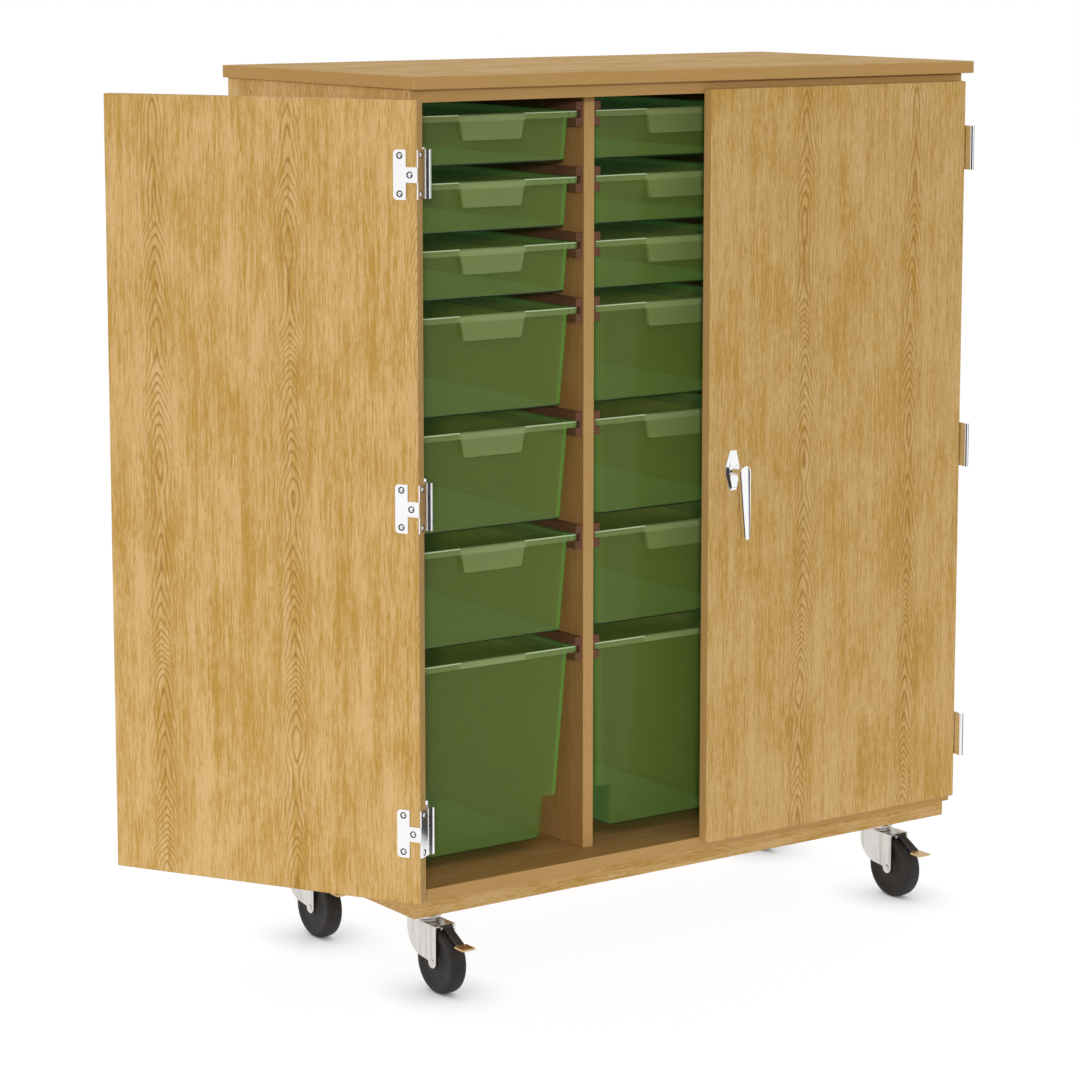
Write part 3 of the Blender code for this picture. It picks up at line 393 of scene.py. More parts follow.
def tray_finish(name):
    """Clear green moulded plastic, paler on lip and grip, with painted light and shade: a bright band at the
    upright corners, a dark line at the foot, a highlight along the rim and a faint glow inside.
    """
    plastic = Finish(name)
    across, back, drop = plastic.split(plastic.noted("tray_place", "Vector"))
    tall = plastic.noted("tray_height")
    half = plastic.noted("tray_half")
    away = abs(across)
    flow = plastic.noise(plastic.place, (9.0, 9.0, 5.0))
    ripple = plastic.noise(plastic.place, (30.0, 30.0, 12.0))
    face = FRONT_INSET + drop * DRAFT
    proud = back < face - 0.0007
    grip = proud * (drop < GRIP_DROP + 0.0006) * (away < GRIP_HALF + 0.001)
    # Painted highlight: a pale line along the lip's top front edge, either side of the grip.
    painted_rim_highlight = (drop < 0.0018) * (back < 0.0018) * (away > GRIP_HALF - 0.0005)
    lip = proud * (drop < LIP_DROP + 0.0004)
    # Painted shade: a dark, denser line along the bottom edge, where light would cross more plastic.
    foot = ((drop - (tall - 0.0042)) * 500.0).clamp()
    # Painted light: a bright band up each front corner, stronger on the right, where light comes through the
    # curved corner.
    edge = half - SIDE_INSET - drop * DRAFT
    corner = (((away - edge + 0.016) * 70.0).clamp() ** 2.0) * (back < face + 0.012) * (1.0 - lip.clamp())
    corner = corner * (0.25 + 0.75 * (across > 0.0))
    # Painted light: inside faces glow faintly green, standing in for light reaching the trays' insides.
    inside = (back > face + 0.004) * 1.0
    colour = plastic.blend(flow, TRAY_PALE, TRAY_DEEP)
    colour = plastic.blend((grip * 0.6 + lip * 0.5).clamp(), colour, linear(196, 210, 150))
    # Painted light and shade: the bright corner band, the dark foot line and the pale rim highlight.
    colour = plastic.blend(corner, colour, linear(150, 236, 110))
    colour = plastic.blend(foot, colour, linear(18, 34, 14))
    colour = plastic.blend(painted_rim_highlight, colour, linear(214, 234, 190))
    cover = 0.13 + flow * 0.08 + grip * 0.10 + lip * 0.08 + corner * 0.30 + foot * 0.7 + painted_rim_highlight * 0.6
    painted_inner_glow = plastic.blend(inside * (0.8 + flow * 0.4), (0.0, 0.0, 0.0), (0.022, 0.054, 0.021))
    plastic.finish(Base_Color=colour, Roughness=0.12 + ripple * 0.06, Emission_Color=painted_inner_glow,
                   Emission_Strength=1.0, Normal=plastic.bump(ripple, 0.03, 0.001))
    return plastic.veil(TRAY_TINT, cover.clamp())


open_angle = radians(OPEN_DEGREES)
hinge_turned = Matrix.Rotation(open_angle, 3, "Z") @ Vector((AXIS_X + SHIFT.x, AXIS_Y + SHIFT.y, 0))
OAK_DOOR = oak_with_staples("oak_door", DOOR_BACK + SHIFT.y, RIGHT_DOOR_RUN)
OAK_OPEN_DOOR = oak("oak_open_door", turn=open_angle, run=hinge_turned.x + LEFT_DOOR_RUN)
# The back, top and bottom panels and the base take painted shade on their inner faces.
OAK_BACK = oak("oak_back", inner=0.75, outside=1)
OAK_TOP = oak("oak_top", along="X", face="Z", edge_tone=0.9, figured=0.15, gloss=0.02)
OAK_BOTTOM = oak("oak_bottom", along="X", face="Z", edge_tone=0.9, figured=0.0, inner=0.55)
OAK_BASE = oak("oak_base", along="X", edge_tone=0.0, figured=0.0, inner=0.10)
CHROME = chrome_finish("chrome_plate")
STEEL = steel_finish("zinc_plate", (0.78, 0.755, 0.715), 0.16)
BRAKE_FINISH = pedal_finish("brake_finish")
RUBBER = rubber_finish("wheel_rubber")
TRAY_GREEN = tray_finish("tray_green")


def dress(mesh, finish):
    mesh.materials.clear()
    mesh.materials.append(finish)


def paint(finish, *nodes):
    for name in nodes:
        dress(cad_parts[name].data, finish)


paint(OAK_DOOR, "door_right")
paint(OAK_OPEN_DOOR, "door_left")
paint(OAK_BACK, "back_panel")
paint(OAK_TOP, "top_slab")
paint(OAK_BOTTOM, "top_panel", "bottom_panel")
paint(STEEL, "latch_rod_upper", "latch_rod_lower")
for panel, outside in (("side_left", -1), ("side_right", 1), ("divider_left", 0), ("divider_right", 0)):
    low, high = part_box(panel)
    middle = (low.x + BOARD / 2, (low.x + high.x) / 2, high.x - BOARD / 2)[outside + 1]
    paint(oak_with_runners(f"oak_{panel}", middle, outside), panel)


# Building blocks
def at(spot, axis="Z", degrees=0):
    """A placement: turned about an axis, then moved."""
    return Matrix.Translation(spot) @ Matrix.Rotation(radians(degrees), 4, axis)


def add_object(name, data):
    made = bpy.data.objects.new(name, data)
    bpy.context.scene.collection.objects.link(made)
    return made


def from_bmesh(name, bm):
    mesh = bpy.data.meshes.new(name)
    bm.to_mesh(mesh)
    bm.free()
    return add_object(name, mesh)


def lofted(name, rings):
    """A closed skin over rings of points, each with as many points as the one before."""
    bm = bmesh.new()
    rings = [[bm.verts.new(point) for point in ring] for ring in rings]
    for upper, lower in zip(rings, rings[1:]):
        for i in range(len(upper)):
            after = (i + 1) % len(upper)
            bm.faces.new((upper[i], upper[after], lower[after], lower[i]))
    bm.faces.new(rings[0])
    bm.faces.new(rings[-1])
    bmesh.ops.recalc_face_normals(bm, faces=bm.faces)
    return from_bmesh(name, bm)


def box(name, low, high):
    low = Vector(low)
    high = Vector(high)
    bm = bmesh.new()
    bmesh.ops.create_cube(bm, size=1, matrix=at((low + high) / 2) @ Matrix.Diagonal((*(high - low), 1)))
    return from_bmesh(name, bm)


def rod(name, start, end, radius, steps=24):
    start = Vector(start)
    end = Vector(end)
    place = at((start + end) / 2) @ (end - start).to_track_quat("Z", "Y").to_matrix().to_4x4()
    bm = bmesh.new()
    bmesh.ops.create_cone(bm, cap_ends=True, segments=steps, radius1=radius, radius2=radius,
                          depth=(end - start).length, matrix=place)
    return from_bmesh(name, bm)


def settle(piece):
    seen = piece.evaluated_get(bpy.context.evaluated_depsgraph_get())
    mesh = bpy.data.meshes.new_from_object(seen)
    piece.modifiers.clear()
    piece.data = mesh
    return piece


@contextmanager
def edited(piece):
    bm = bmesh.new()
    bm.from_mesh(piece.data)
    yield bm
    bm.to_mesh(piece.data)
    bm.free()


def merged(piece):
    """Doubled points welded and slits filled: left alone, they stop every bevel."""
    with edited(piece) as bm:
        bmesh.ops.remove_doubles(bm, verts=bm.verts, dist=0.000002)
        bmesh.ops.dissolve_degenerate(bm, edges=bm.edges, dist=0.000002)
        bmesh.ops.holes_fill(bm, edges=[edge for edge in bm.edges if edge.is_boundary], sides=6)
    return piece


def combine(piece, operation, *tools):
    for tool in tools:
        step = piece.modifiers.new(operation.lower(), "BOOLEAN")
        step.operation = operation
        step.solver = "EXACT"
        step.object = tool
        settle(piece)
        bpy.data.objects.remove(tool, do_unlink=True)
    return merged(piece)


def union(piece, *tools):
    return combine(piece, "UNION", *tools)


def cut(piece, *tools):
    return combine(piece, "DIFFERENCE", *tools)


def rounded(piece, width, segments=2, degrees=35):
    bevel = piece.modifiers.new("edges", "BEVEL")
    bevel.width = width
    bevel.segments = segments
    bevel.limit_method = "ANGLE"
    bevel.angle_limit = radians(degrees)
    return settle(piece)


def smooth(piece, degrees=35):
    """Smooth shading up to an angle, with wide faces kept flat."""
    piece.data.shade_smooth()
    piece.data.set_sharp_from_angle(angle=radians(degrees))
    even = piece.modifiers.new("even", "WEIGHTED_NORMAL")
    even.keep_sharp = True
    even.weight = 100
    return settle(piece)


def turned(name, profile, steps, place, closed=False):
    """A profile of radius and height turned about Z, then put in place."""
    count = len(profile)
    edges = [(i, (i + 1) % count) for i in range(count if closed else count - 1)]
    mesh = bpy.data.meshes.new(name)
    mesh.from_pydata([(radius, 0, height) for radius, height in profile], edges, [])
    piece = add_object(name, mesh)
    screw = piece.modifiers.new("turn", "SCREW")
    screw.axis = "Z"
    screw.steps = steps
    screw.render_steps = steps
    screw.use_merge_vertices = True
    screw.merge_threshold = 0.00001
    settle(piece)
    with edited(piece) as bm:
        bmesh.ops.remove_doubles(bm, verts=bm.verts, dist=0.00001)
        bmesh.ops.recalc_face_normals(bm, faces=bm.faces)
    piece.data.transform(place)
    return piece


def on_circle(centre, radius, degrees):
    return [(centre[0] + radius * cos(radians(angle)), centre[1] + radius * sin(radians(angle)))
            for angle in degrees]


def arc(centre, radius, start, end, steps):
    return on_circle(centre, radius, [start + (end - start) * i / steps for i in range(steps + 1)])


def plate(name, outline, thickness, place):
    """A flat outline in its own XY plane, given a thickness about that plane and put in place."""
    bm = bmesh.new()
    face = bm.faces.new([bm.verts.new((x, y, -thickness / 2)) for x, y in outline])
    made = bmesh.ops.extrude_face_region(bm, geom=[face])
    lifted = [item for item in made["geom"] if isinstance(item, bmesh.types.BMVert)]
    bmesh.ops.translate(bm, verts=lifted, vec=(0, 0, thickness))
    bmesh.ops.transform(bm, matrix=place, verts=bm.verts)
    bmesh.ops.recalc_face_normals(bm, faces=bm.faces)
    return from_bmesh(name, bm)


def rounded_outline(left, right, low, high, radii):
    """A rectangle with a radius at each corner: right-top, left-top, left-low, right-low."""
    corners = ((right, high, -1, -1, 0), (left, high, 1, -1, 90), (left, low, 1, 1, 180),
               (right, low, -1, 1, 270))
    points = []
    for (x, y, inward, upward, start), radius in zip(corners, radii):
        if radius:
            points += arc((x + inward * radius, y + upward * radius), radius, start, start + 90, 6)
        else:
            points.append((x, y))
    return points


MIRROR = at((WIDTH, 0, 0)) @ Matrix.Diagonal((-1, 1, 1, 1))
SWUNG_OPEN = at((AXIS_X, AXIS_Y, 0), "Z", -OPEN_DEGREES) @ at((-AXIS_X, -AXIS_Y, 0))


def placed(name, pattern, place, finish, body, slot, *nodes):
    """A copy of a pattern, moved in its mesh, finished, riding on a body in place of CAD nodes."""
    piece = add_object(name, pattern.data.copy())
    piece.data.transform(TO_FRAME @ place)
    if place.determinant() < 0:
        piece.data.flip_normals()
    dress(piece.data, finish)
    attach(piece, body)
    if nodes:
        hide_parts(*nodes)


def discard(*patterns):
    for pattern in patterns:
        bpy.data.objects.remove(pattern, do_unlink=True)


# Screws, set by geometry nodes on points that carry the way each one faces
def screw_tree(name, finish):
    """Domed heads with a cross recess, one on each point, turned to the point's own direction."""
    tree = bpy.data.node_groups.new(name, "GeometryNodeTree")
    face = tree.interface
    face.new_socket("Points", in_out="INPUT", socket_type="NodeSocketGeometry")
    labels = ("Head radius", "Head height", "Recess width")
    sizes = [face.new_socket(label, in_out="INPUT", socket_type="NodeSocketFloat") for label in labels]
    face.new_socket("Screws", in_out="OUTPUT", socket_type="NodeSocketGeometry")
    build = Nodes(tree)
    points = Flow(build, tree.nodes.new("NodeGroupInput").outputs["Points"])
    radius, height, recess = (points.other(label) for label in labels)
    ball = build.node("GeometryNodeMeshUVSphere", {}, 20, 12, 1.0)
    dome = build.join(radius, radius, height)
    head = build.node("GeometryNodeTransform", {}, Geometry=ball, Scale=dome)
    raised = build.join(0.0, 0.0, height)
    for x, y in ((radius, recess), (recess, radius)):
        bar = build.node("GeometryNodeMeshCube", {}, Size=build.join(x, y, height))
        cutter = build.node("GeometryNodeTransform", {}, Geometry=bar, Translation=raised)
        head = build.node("GeometryNodeMeshBoolean", {"operation": "DIFFERENCE", "solver": "EXACT"},
                          Mesh_1=head, Mesh_2=cutter)
    way = build.node("GeometryNodeInputNamedAttribute", {"data_type": "FLOAT_VECTOR"}, Name="facing")
    turn = build.node("FunctionNodeAlignRotationToVector", {"axis": "Z"}, Vector=way)
    spread = build.node("GeometryNodeInstanceOnPoints", {}, Points=points, Instance=head, Rotation=turn)
    real = build.node("GeometryNodeRealizeInstances", {}, Geometry=spread)
    dressed = build.node("GeometryNodeSetMaterial", {}, Geometry=real, Material=finish)
    tree.links.new(dressed.socket, tree.nodes.new("NodeGroupOutput").inputs[0])
    return tree, [socket.identifier for socket in sizes]


CHROME_SCREWS = screw_tree("chrome_screws", CHROME)
STEEL_SCREWS = screw_tree("steel_screws", STEEL)
# Black discs under the hinge screws: painted shade for the shadow in each countersink.
PAINTED_SHADE_RINGS = screw_tree("painted_shade_rings", RUBBER)


def screws(name, kind, spots, size, body):
    """One mesh of screws at spots given as (place, facing) in the carcass frame."""
    mesh = bpy.data.meshes.new(name)
    mesh.from_pydata([Vector(place) + SHIFT for place, facing in spots], [], [])
    facing = mesh.attributes.new("facing", "FLOAT_VECTOR", "POINT")
    for item, (place, way) in zip(facing.data, spots):
        item.vector = way
    piece = add_object(name, mesh)
    step = piece.modifiers.new("screws", "NODES")
    step.node_group, inputs = kind
    for identifier, value in zip(inputs, size):
        step[identifier] = value
    settle(piece)
    smooth(piece, 40)
    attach(piece, body)


# Trays
def tray_ring(width, length, inset_x, inset_y, corner, height):
    """A rounded rectangle of points; the tray's lip spans 0 to width and 0 to length."""
    left, right, front, back = inset_x, width - inset_x, inset_y, length - inset_y
    centres = ((right - corner, back - corner, 0), (left + corner, back - corner, 90),
               (left + corner, front + corner, 180), (right - corner, front + corner, 270))
    points = []
    for x, y, start in centres:
        points += arc((x, y), corner, start, start + 90, 5)
    return [(x, y, height) for x, y in points]


def tray_pattern(name, width, length, height, jumbo):
    """A moulded tray with a turned-down lip, drafted walls and a front grip."""
    wall = TRAY_WALL
    bend = 0.0016
    lip_corner = 0.005
    lip_inner = lip_corner - wall / 2
    body_corner = 0.010
    edge = 0.0011
    levels = []

    def level(side, end, corner, z):
        levels.append(tray_ring(width, length, side, end, corner, z))

    def wall_level(depth, inward, z):
        lean = depth * DRAFT + inward
        step = FOOT_STEP if jumbo and depth > height - JUMBO_FOOT else 0.0
        level(SIDE_INSET + lean + step, FRONT_INSET + lean, max(body_corner - inward, 0.003), z)

    turns = [radians(15 * i) for i in range(7)]
    floor = height - wall
    foot = height - JUMBO_FOOT
    for angle in turns:
        wall_level(floor, wall + bend * (1 - sin(angle)), -floor + bend * (1 - cos(angle)))
    if jumbo:
        wall_level(foot + 0.0001, wall, wall - foot)
        wall_level(foot - wall, wall, wall - foot)
    wall_level(0.0, wall, -edge)
    wall_level(0.0, wall - edge * 0.7, -edge * 0.3)
    wall_level(0.0, wall - edge * 1.6, 0.0)
    for inset, corner, z in ((edge * 1.6, lip_corner, 0.0), (edge * 0.4, lip_corner, -edge * 0.4),
                             (0.0, lip_corner, -edge * 1.6), (0.0, lip_corner, edge - LIP_DROP),
                             (edge * 0.5, lip_corner, -LIP_DROP), (wall - edge * 0.5, lip_inner, -LIP_DROP),
                             (wall, lip_inner, edge - LIP_DROP), (wall, lip_inner, -wall)):
        level(inset, inset, corner, z)
    wall_level(0.0, 0.0, -wall)
    if jumbo:
        wall_level(foot, 0.0, -foot)
        wall_level(foot + 0.0001, 0.0, -foot)
    outer = bend + wall
    for angle in reversed(turns):
        wall_level(height, outer * (1 - sin(angle)), -height + outer * (1 - cos(angle)))
    tray = lofted(name, levels)
    if jumbo:
        for x in FOOT_RIBS:
            for middle in (x, width - x):
                union(tray, foot_rib(middle, height))
    else:
        union(tray, grip_hood(width / 2))
    smooth(tray, 32)
    note_places(tray, width, height)
    return tray


def foot_rib(middle, height):
    """A thin upright rib on the front of a large tray's foot, leaning with the wall."""
    low = -height + 0.006
    high = -(height - JUMBO_FOOT) + 0.004
    front = FRONT_INSET + (height - JUMBO_FOOT) * DRAFT
    back = FRONT_INSET + height * DRAFT
    rib = box("rib", (middle - 0.0009, front, low), (middle + 0.0009, back, high))
    for vertex in rib.data.vertices:
        share = (high - vertex.co.z) / (high - low)
        vertex.co.y = front + (back - front) * share + (0.0006 if vertex.co.y > front + 0.001 else -0.0008)
    return rib


def note_places(tray, width, height):
    """Note where each point is on its tray, for the finish: across the middle, back and down from the rim."""
    notes = tray.data.attributes
    for name, kind in (("tray_place", "FLOAT_VECTOR"), ("tray_height", "FLOAT"), ("tray_half", "FLOAT")):
        notes.new(name, kind, "POINT")
    for vertex in tray.data.vertices:
        x, y, z = vertex.co
        notes["tray_place"].data[vertex.index].vector = (x - width / 2, y, -z)
        notes["tray_height"].data[vertex.index].value = height
        notes["tray_half"].data[vertex.index].value = width / 2


def grip_hood(middle):
    """The hood that hangs from the lip in front of the tray, open at the bottom and the back."""

    def trapezoid(inset, low, high, radius):
        half = GRIP_HALF - inset
        half_low = half - 0.0075 - radius * 0.8
        points = [(middle + half, high), (middle - half, high)]
        points += arc((middle - half_low, low + radius), radius, 195, 270, 4)
        return points + arc((middle + half_low, low + radius), radius, 270, 345, 4)

    def slab(name, front, back, *shape):
        return plate(name, trapezoid(*shape), back - front, at((0, (front + back) / 2, 0)) @ FACING_FRONT)

    skin = 0.0018
    front = -GRIP_PROUD
    back = FRONT_INSET + GRIP_DROP * DRAFT + 0.0012
    outer = slab("grip", front, back, 0.0, -GRIP_DROP, -0.0012, 0.004)
    inner = slab("hollow", front + skin, back + 0.02, skin, -GRIP_DROP - 0.006, -TRAY_WALL * 1.2, 0.003)
    rounded(outer, 0.0006, 2, 40)
    return cut(outer, inner)


tray_patterns = {}
for node in [f"tray_c{column}_r{row}" for column in (1, 2, 3) for row in range(1, 8)]:
    low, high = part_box(node)
    tall = high.z - low.z
    jumbo = tall > 0.25
    kind = round(tall, 3)
    lip_front = low.y if jumbo else low.y + GRIP_PROUD
    if kind not in tray_patterns:
        tray_patterns[kind] = tray_pattern(f"pattern_{kind}", high.x - low.x, high.y - lip_front, tall, jumbo)
    place = at(Vector((low.x, lip_front, high.z)) - SHIFT)
    placed(f"moulded_{node}", tray_patterns[kind], place, TRAY_GREEN, node, "tray_plastic", node)
discard(*tray_patterns.values())


# Hinges, drawn on the closed left door about their own middle: spots are (place, facing)
SUNK = DOOR_BACK + SEAT + LEAF - 0.0009
BAR_SPOTS = [((BAR_LEFT + BAR_WIDTH / 2, SUNK, z), (0, 1, 0)) for z in (-0.027, 0.027)]
TONGUE_SPOTS = [((0.0192, SUNK, 0), (0, 1, 0))]
EDGE_SPOTS = [((DOOR_INSET - SEAT - LEAF + 0.0009, -0.0122, z), (-1, 0, 0)) for z in (-0.028, 0.028)]
FLANGE_SPOTS = [((BOARD + SEAT + LEAF, 0.022, z), (1, 0, 0)) for z in (-0.024, 0.0, 0.024)]
FLAT_SPOTS = TONGUE_SPOTS + EDGE_SPOTS


def on_axis(name, low, high, radius, steps=24):
    return rod(name, (AXIS_X, AXIS_Y, low), (AXIS_X, AXIS_Y, high), radius, steps)


def knuckle_span(index):
    low = -HINGE_HALF + index * KNUCKLE_LENGTH + KNUCKLE_GAP / 2
    return low, low + KNUCKLE_LENGTH - KNUCKLE_GAP


def wings(indexes, low_x, high_x):
    """The leaf's sheet where it runs into its knuckles."""
    return [box("wing", (low_x, AXIS_Y + BORE_RADIUS, low + 0.00005),
                (high_x, AXIS_Y + BARREL_RADIUS + LEAF, high - 0.00005))
            for low, high in map(knuckle_span, indexes)]


def knuckles(indexes):
    return [on_axis("knuckle", *knuckle_span(index), BARREL_RADIUS, 32) for index in indexes]


def door_leaf_pattern():
    """The leaf on a door: a plate on its edge, and a strap and a bar on its inner face."""
    high_x = DOOR_INSET - SEAT
    low_x = high_x - LEAF
    inner = DOOR_BACK + SEAT
    leaf = box("door_leaf", (low_x, BARREL_CLEAR, -HINGE_HALF), (high_x, DOOR_BACK, HINGE_HALF))
    strap = box("strap", (low_x, DOOR_BACK - LEAF, -STRAP_HALF), (high_x, inner + LEAF, STRAP_HALF))
    tongue = box("tongue", (high_x - LEAF / 2, inner, -STRAP_HALF),
                 (BAR_LEFT + LEAF, inner + LEAF, STRAP_HALF))
    outline = rounded_outline(BAR_LEFT, BAR_LEFT + BAR_WIDTH, -BAR_HEIGHT / 2, BAR_HEIGHT / 2,
                              (0.006, 0.0008, 0.0008, 0.006))
    bar = plate("bar", outline, LEAF, at((0, inner + LEAF / 2, 0)) @ FACING_FRONT)
    union(leaf, strap, tongue, bar, *wings((1, 3), low_x, high_x))
    rounded(leaf, 0.0004)
    union(leaf, *knuckles((1, 3)))
    cut(leaf, on_axis("bore", -HINGE_HALF - 0.002, HINGE_HALF + 0.002, BORE_RADIUS))
    for spot, way in BAR_SPOTS + FLAT_SPOTS:
        start = Vector(spot)
        way = Vector(way)
        cut(leaf, rod("countersink", start - way * 0.0002, start + way * 0.003, COUNTERSINK_RADIUS))
    return smooth(leaf)


def frame_leaf_pattern():
    """The leaf on the carcass, with the pin: a plate, tabs round the panel's edge, and a flange inside."""
    high_x = DOOR_INSET - SEAT - LEAF - 0.0004
    low_x = high_x - LEAF
    front = DOOR_BACK + SEAT
    inside = BOARD + SEAT
    leaf = box("frame_leaf", (low_x, BARREL_CLEAR, -HINGE_HALF), (high_x, front + LEAF, HINGE_HALF))
    for low in (-HINGE_HALF, HINGE_HALF - TAB_HEIGHT):
        high = low + TAB_HEIGHT
        union(leaf, box("tab", (high_x - LEAF / 2, front, low), (inside + LEAF, front + LEAF, high)),
              box("turn", (inside, front + LEAF / 2, low), (inside + LEAF, LEAF, high)))
    outline = rounded_outline(SEAT, FLANGE_DEPTH, -HINGE_HALF, HINGE_HALF, (0.005, 0, 0, 0.005))
    union(leaf, plate("flange", outline, LEAF, at((inside + LEAF / 2, 0, 0)) @ FACING_SIDE))
    rounded(leaf, 0.0004)
    union(leaf, *wings((0, 2, 4), low_x + 0.00005, high_x - 0.00005), *knuckles((0, 2, 4)))
    pin_half = HINGE_HALF - KNUCKLE_LENGTH / 2
    union(leaf, on_axis("pin", -pin_half, pin_half, PIN_RADIUS))
    return smooth(leaf)


def carried(spots, place):
    """Spots and facings moved by a placement."""
    turn = place.to_3x3()
    return [(place @ Vector(spot), turn @ Vector(way)) for spot, way in spots]


door_leaf = door_leaf_pattern()
frame_leaf = frame_leaf_pattern()
bar_spots = {"left": [], "right": []}
flat_spots = {"left": [], "right": []}
carcass_spots = []
for end in ("low", "mid", "top"):
    low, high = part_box(f"frame_leaf_left_{end}")
    up = at((0, 0, (low.z + high.z) / 2))
    for side, place in (("left", SWUNG_OPEN @ up), ("right", MIRROR @ up)):
        placed(f"leaf_on_{side}_door_{end}", door_leaf, place, CHROME, f"{side}_door", "chrome",
               f"door_leaf_{side}_{end}")
        bar_spots[side] += carried(BAR_SPOTS, place)
        flat_spots[side] += carried(FLAT_SPOTS, place)
    for side, place in (("left", up), ("right", MIRROR @ up)):
        placed(f"leaf_on_{side}_side_{end}", frame_leaf, place, CHROME, "carcass", "chrome",
               f"frame_leaf_{side}_{end}")
        carcass_spots += carried(FLANGE_SPOTS, place)
discard(door_leaf, frame_leaf)
all_spots = {side: bar_spots[side] + flat_spots[side] for side in bar_spots}
# The last kind is the black ring of painted shade under each screw head.
for kind, tree, spots, size in (("screws", CHROME_SCREWS, bar_spots, DOMED),
                                ("flat_screws", CHROME_SCREWS, flat_spots, LOW),
                                ("screw_seats", PAINTED_SHADE_RINGS, all_spots, SHADE_RING)):
    for side in ("left", "right"):
        screws(f"{side}_door_{kind}", tree, spots[side], size, f"{side}_door")
screws("side_hinge_screws", CHROME_SCREWS, carcass_spots, LOW, "carcass")


# Lever lock
lever_low, lever_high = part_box("lever_handle")
rose_low, rose_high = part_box("lever_rose")
LEVER_CENTRE = (rose_low + rose_high) / 2 - SHIFT
LEVER_X = LEVER_CENTRE.x
LEVER_Z = LEVER_CENTRE.z
LEVER_HEAD = 0.0105
LEVER_TIP = 0.0055
LEVER_REACH = 0.103
LEVER_LEAN = 0.006
LEVER_THICK = 0.010
LEVER_FRONT = lever_low.y - SHIFT.y + LEVER_LEAN
SPINDLE_END = 0.0077


def lever_section(half, share):
    """Points round the lever: a flat back, rounded sides, and two facets with a narrow strip between them."""
    back = LEVER_THICK / 2
    crown = LEVER_THICK * (0.50 - 0.10 * share)
    ridge = half * 0.12
    strip = half * 0.46
    drop = strip * tan(radians(7))
    left_rise = crown - (half + ridge) * tan(radians(9))
    right_rise = crown - drop - (half - ridge - strip) * tan(radians(17))
    side = min(0.0016, half * 0.35)
    inward = half - side
    return ([(inward, back), (-inward, back)]
            + on_circle((-inward, back - side), side, (120, 150, 180))
            + on_circle((-inward, side - left_rise), side, (180, 210, 240, 260))
            + [(ridge, -crown), (ridge + strip, -crown + drop)]
            + on_circle((inward, side - right_rise), side, (287, 310, 335, 360))
            + on_circle((inward, back - side), side, (0, 30, 60)))


def lever_pattern():
    """The lever: a tapered faceted bar with a round head, leaning out, on a neck and spindle."""
    straight = LEVER_REACH - LEVER_TIP
    stations = [(z, half) for half, z in arc((0, 0), LEVER_HEAD, 90, 0, 9)]
    stations += [(-straight * i / 14, LEVER_HEAD + (LEVER_TIP - LEVER_HEAD) * i / 14) for i in range(1, 14)]
    stations += [(-straight - z, half) for half, z in arc((0, 0), LEVER_TIP, 0, 90, 7)]
    rings = []
    middle = LEVER_FRONT + LEVER_THICK / 2
    for z, half in stations:
        half = max(half, 0.0008)
        share = max(-z, 0) / LEVER_REACH
        full = 1.0
        if z > 0 or z < -straight:
            full = min(1.0, half / (LEVER_HEAD if z > 0 else LEVER_TIP))
        thin = 1.0 - 0.5 * (1.0 - sqrt(max(0.0, 1 - (1 - full) ** 2)))
        rings.append([(LEVER_X + across, middle - LEVER_LEAN * share + deep * thin, LEVER_Z + z)
                      for across, deep in lever_section(half, share)])
    lever = lofted("lever_bar", rings)
    span = rose_low.y - SHIFT.y - SEAT - middle
    profile = [(0, 0), (0.0066, 0), (0.0058, span * 0.45), (0.0062, span * 0.80), (0.0066, span * 0.86),
               (0.0068, span - 0.0006), (0.0062, span), (0, span)]
    centre = (LEVER_X, middle, LEVER_Z)
    union(lever, turned("neck", profile, 40, at(centre, "X", -90)))
    union(lever, rod("spindle", centre, (LEVER_X, SPINDLE_END - 0.0015, LEVER_Z), 0.005, 32))
    cam = rod("cam", (LEVER_X, SPINDLE_END - 0.003, LEVER_Z), (LEVER_X, SPINDLE_END, LEVER_Z), 0.014, 48)
    for x, z in on_circle((LEVER_X, LEVER_Z), 0.0085, (-45, 135)):
        union(cam, rod("crank_pin", (x, SPINDLE_END - 0.0021, z), (x, lever_high.y - SHIFT.y, z), 0.002, 24))
    union(lever, cam)
    return smooth(lever, 28)


def rose_pattern():
    """The rose: an elongated eight-sided plate with sloping facets and a turned boss under the neck."""
    low = rose_low - SHIFT
    high = rose_high - SHIFT

    def outline(inset):
        wide = (high.x - low.x) / 2 - inset
        tall = (high.z - low.z) / 2 - inset
        end = 0.0065 - inset * 0.4
        shoulder = 0.0065 - inset * 0.3
        right = [(end, tall), (wide, shoulder), (wide, -shoulder), (end, -tall)]
        return right + [(-x, z) for x, z in reversed(right)]

    levels = ((0.0, 0.0), (0.0, 0.0022), (0.0045, 0.0056), (0.0050, 0.0056))
    rose = lofted("rose_plate", [[(LEVER_X + x, high.y - back, LEVER_Z + z) for x, z in outline(inset)]
                                 for inset, back in levels])
    rounded(rose, 0.0004, degrees=12)
    union(rose, turned("boss", [(0, 0), (0.0098, 0), (0.0098, 0.0016), (0.0088, 0.0026), (0, 0.0026)], 48,
                       at((LEVER_X, low.y + 0.0026, LEVER_Z), "X", 90)))
    cut(rose, rod("hole", (LEVER_X, low.y - 0.002, LEVER_Z), (LEVER_X, high.y + 0.002, LEVER_Z), 0.0055, 32))
    return smooth(rose, 25)


lever = lever_pattern()
rose = rose_pattern()
placed("turned_lever", lever, IDENTITY, CHROME, "lever", "chrome", "lever_handle")
placed("faceted_rose", rose, IDENTITY, CHROME, "right_door", "chrome", "lever_rose")
discard(lever, rose)


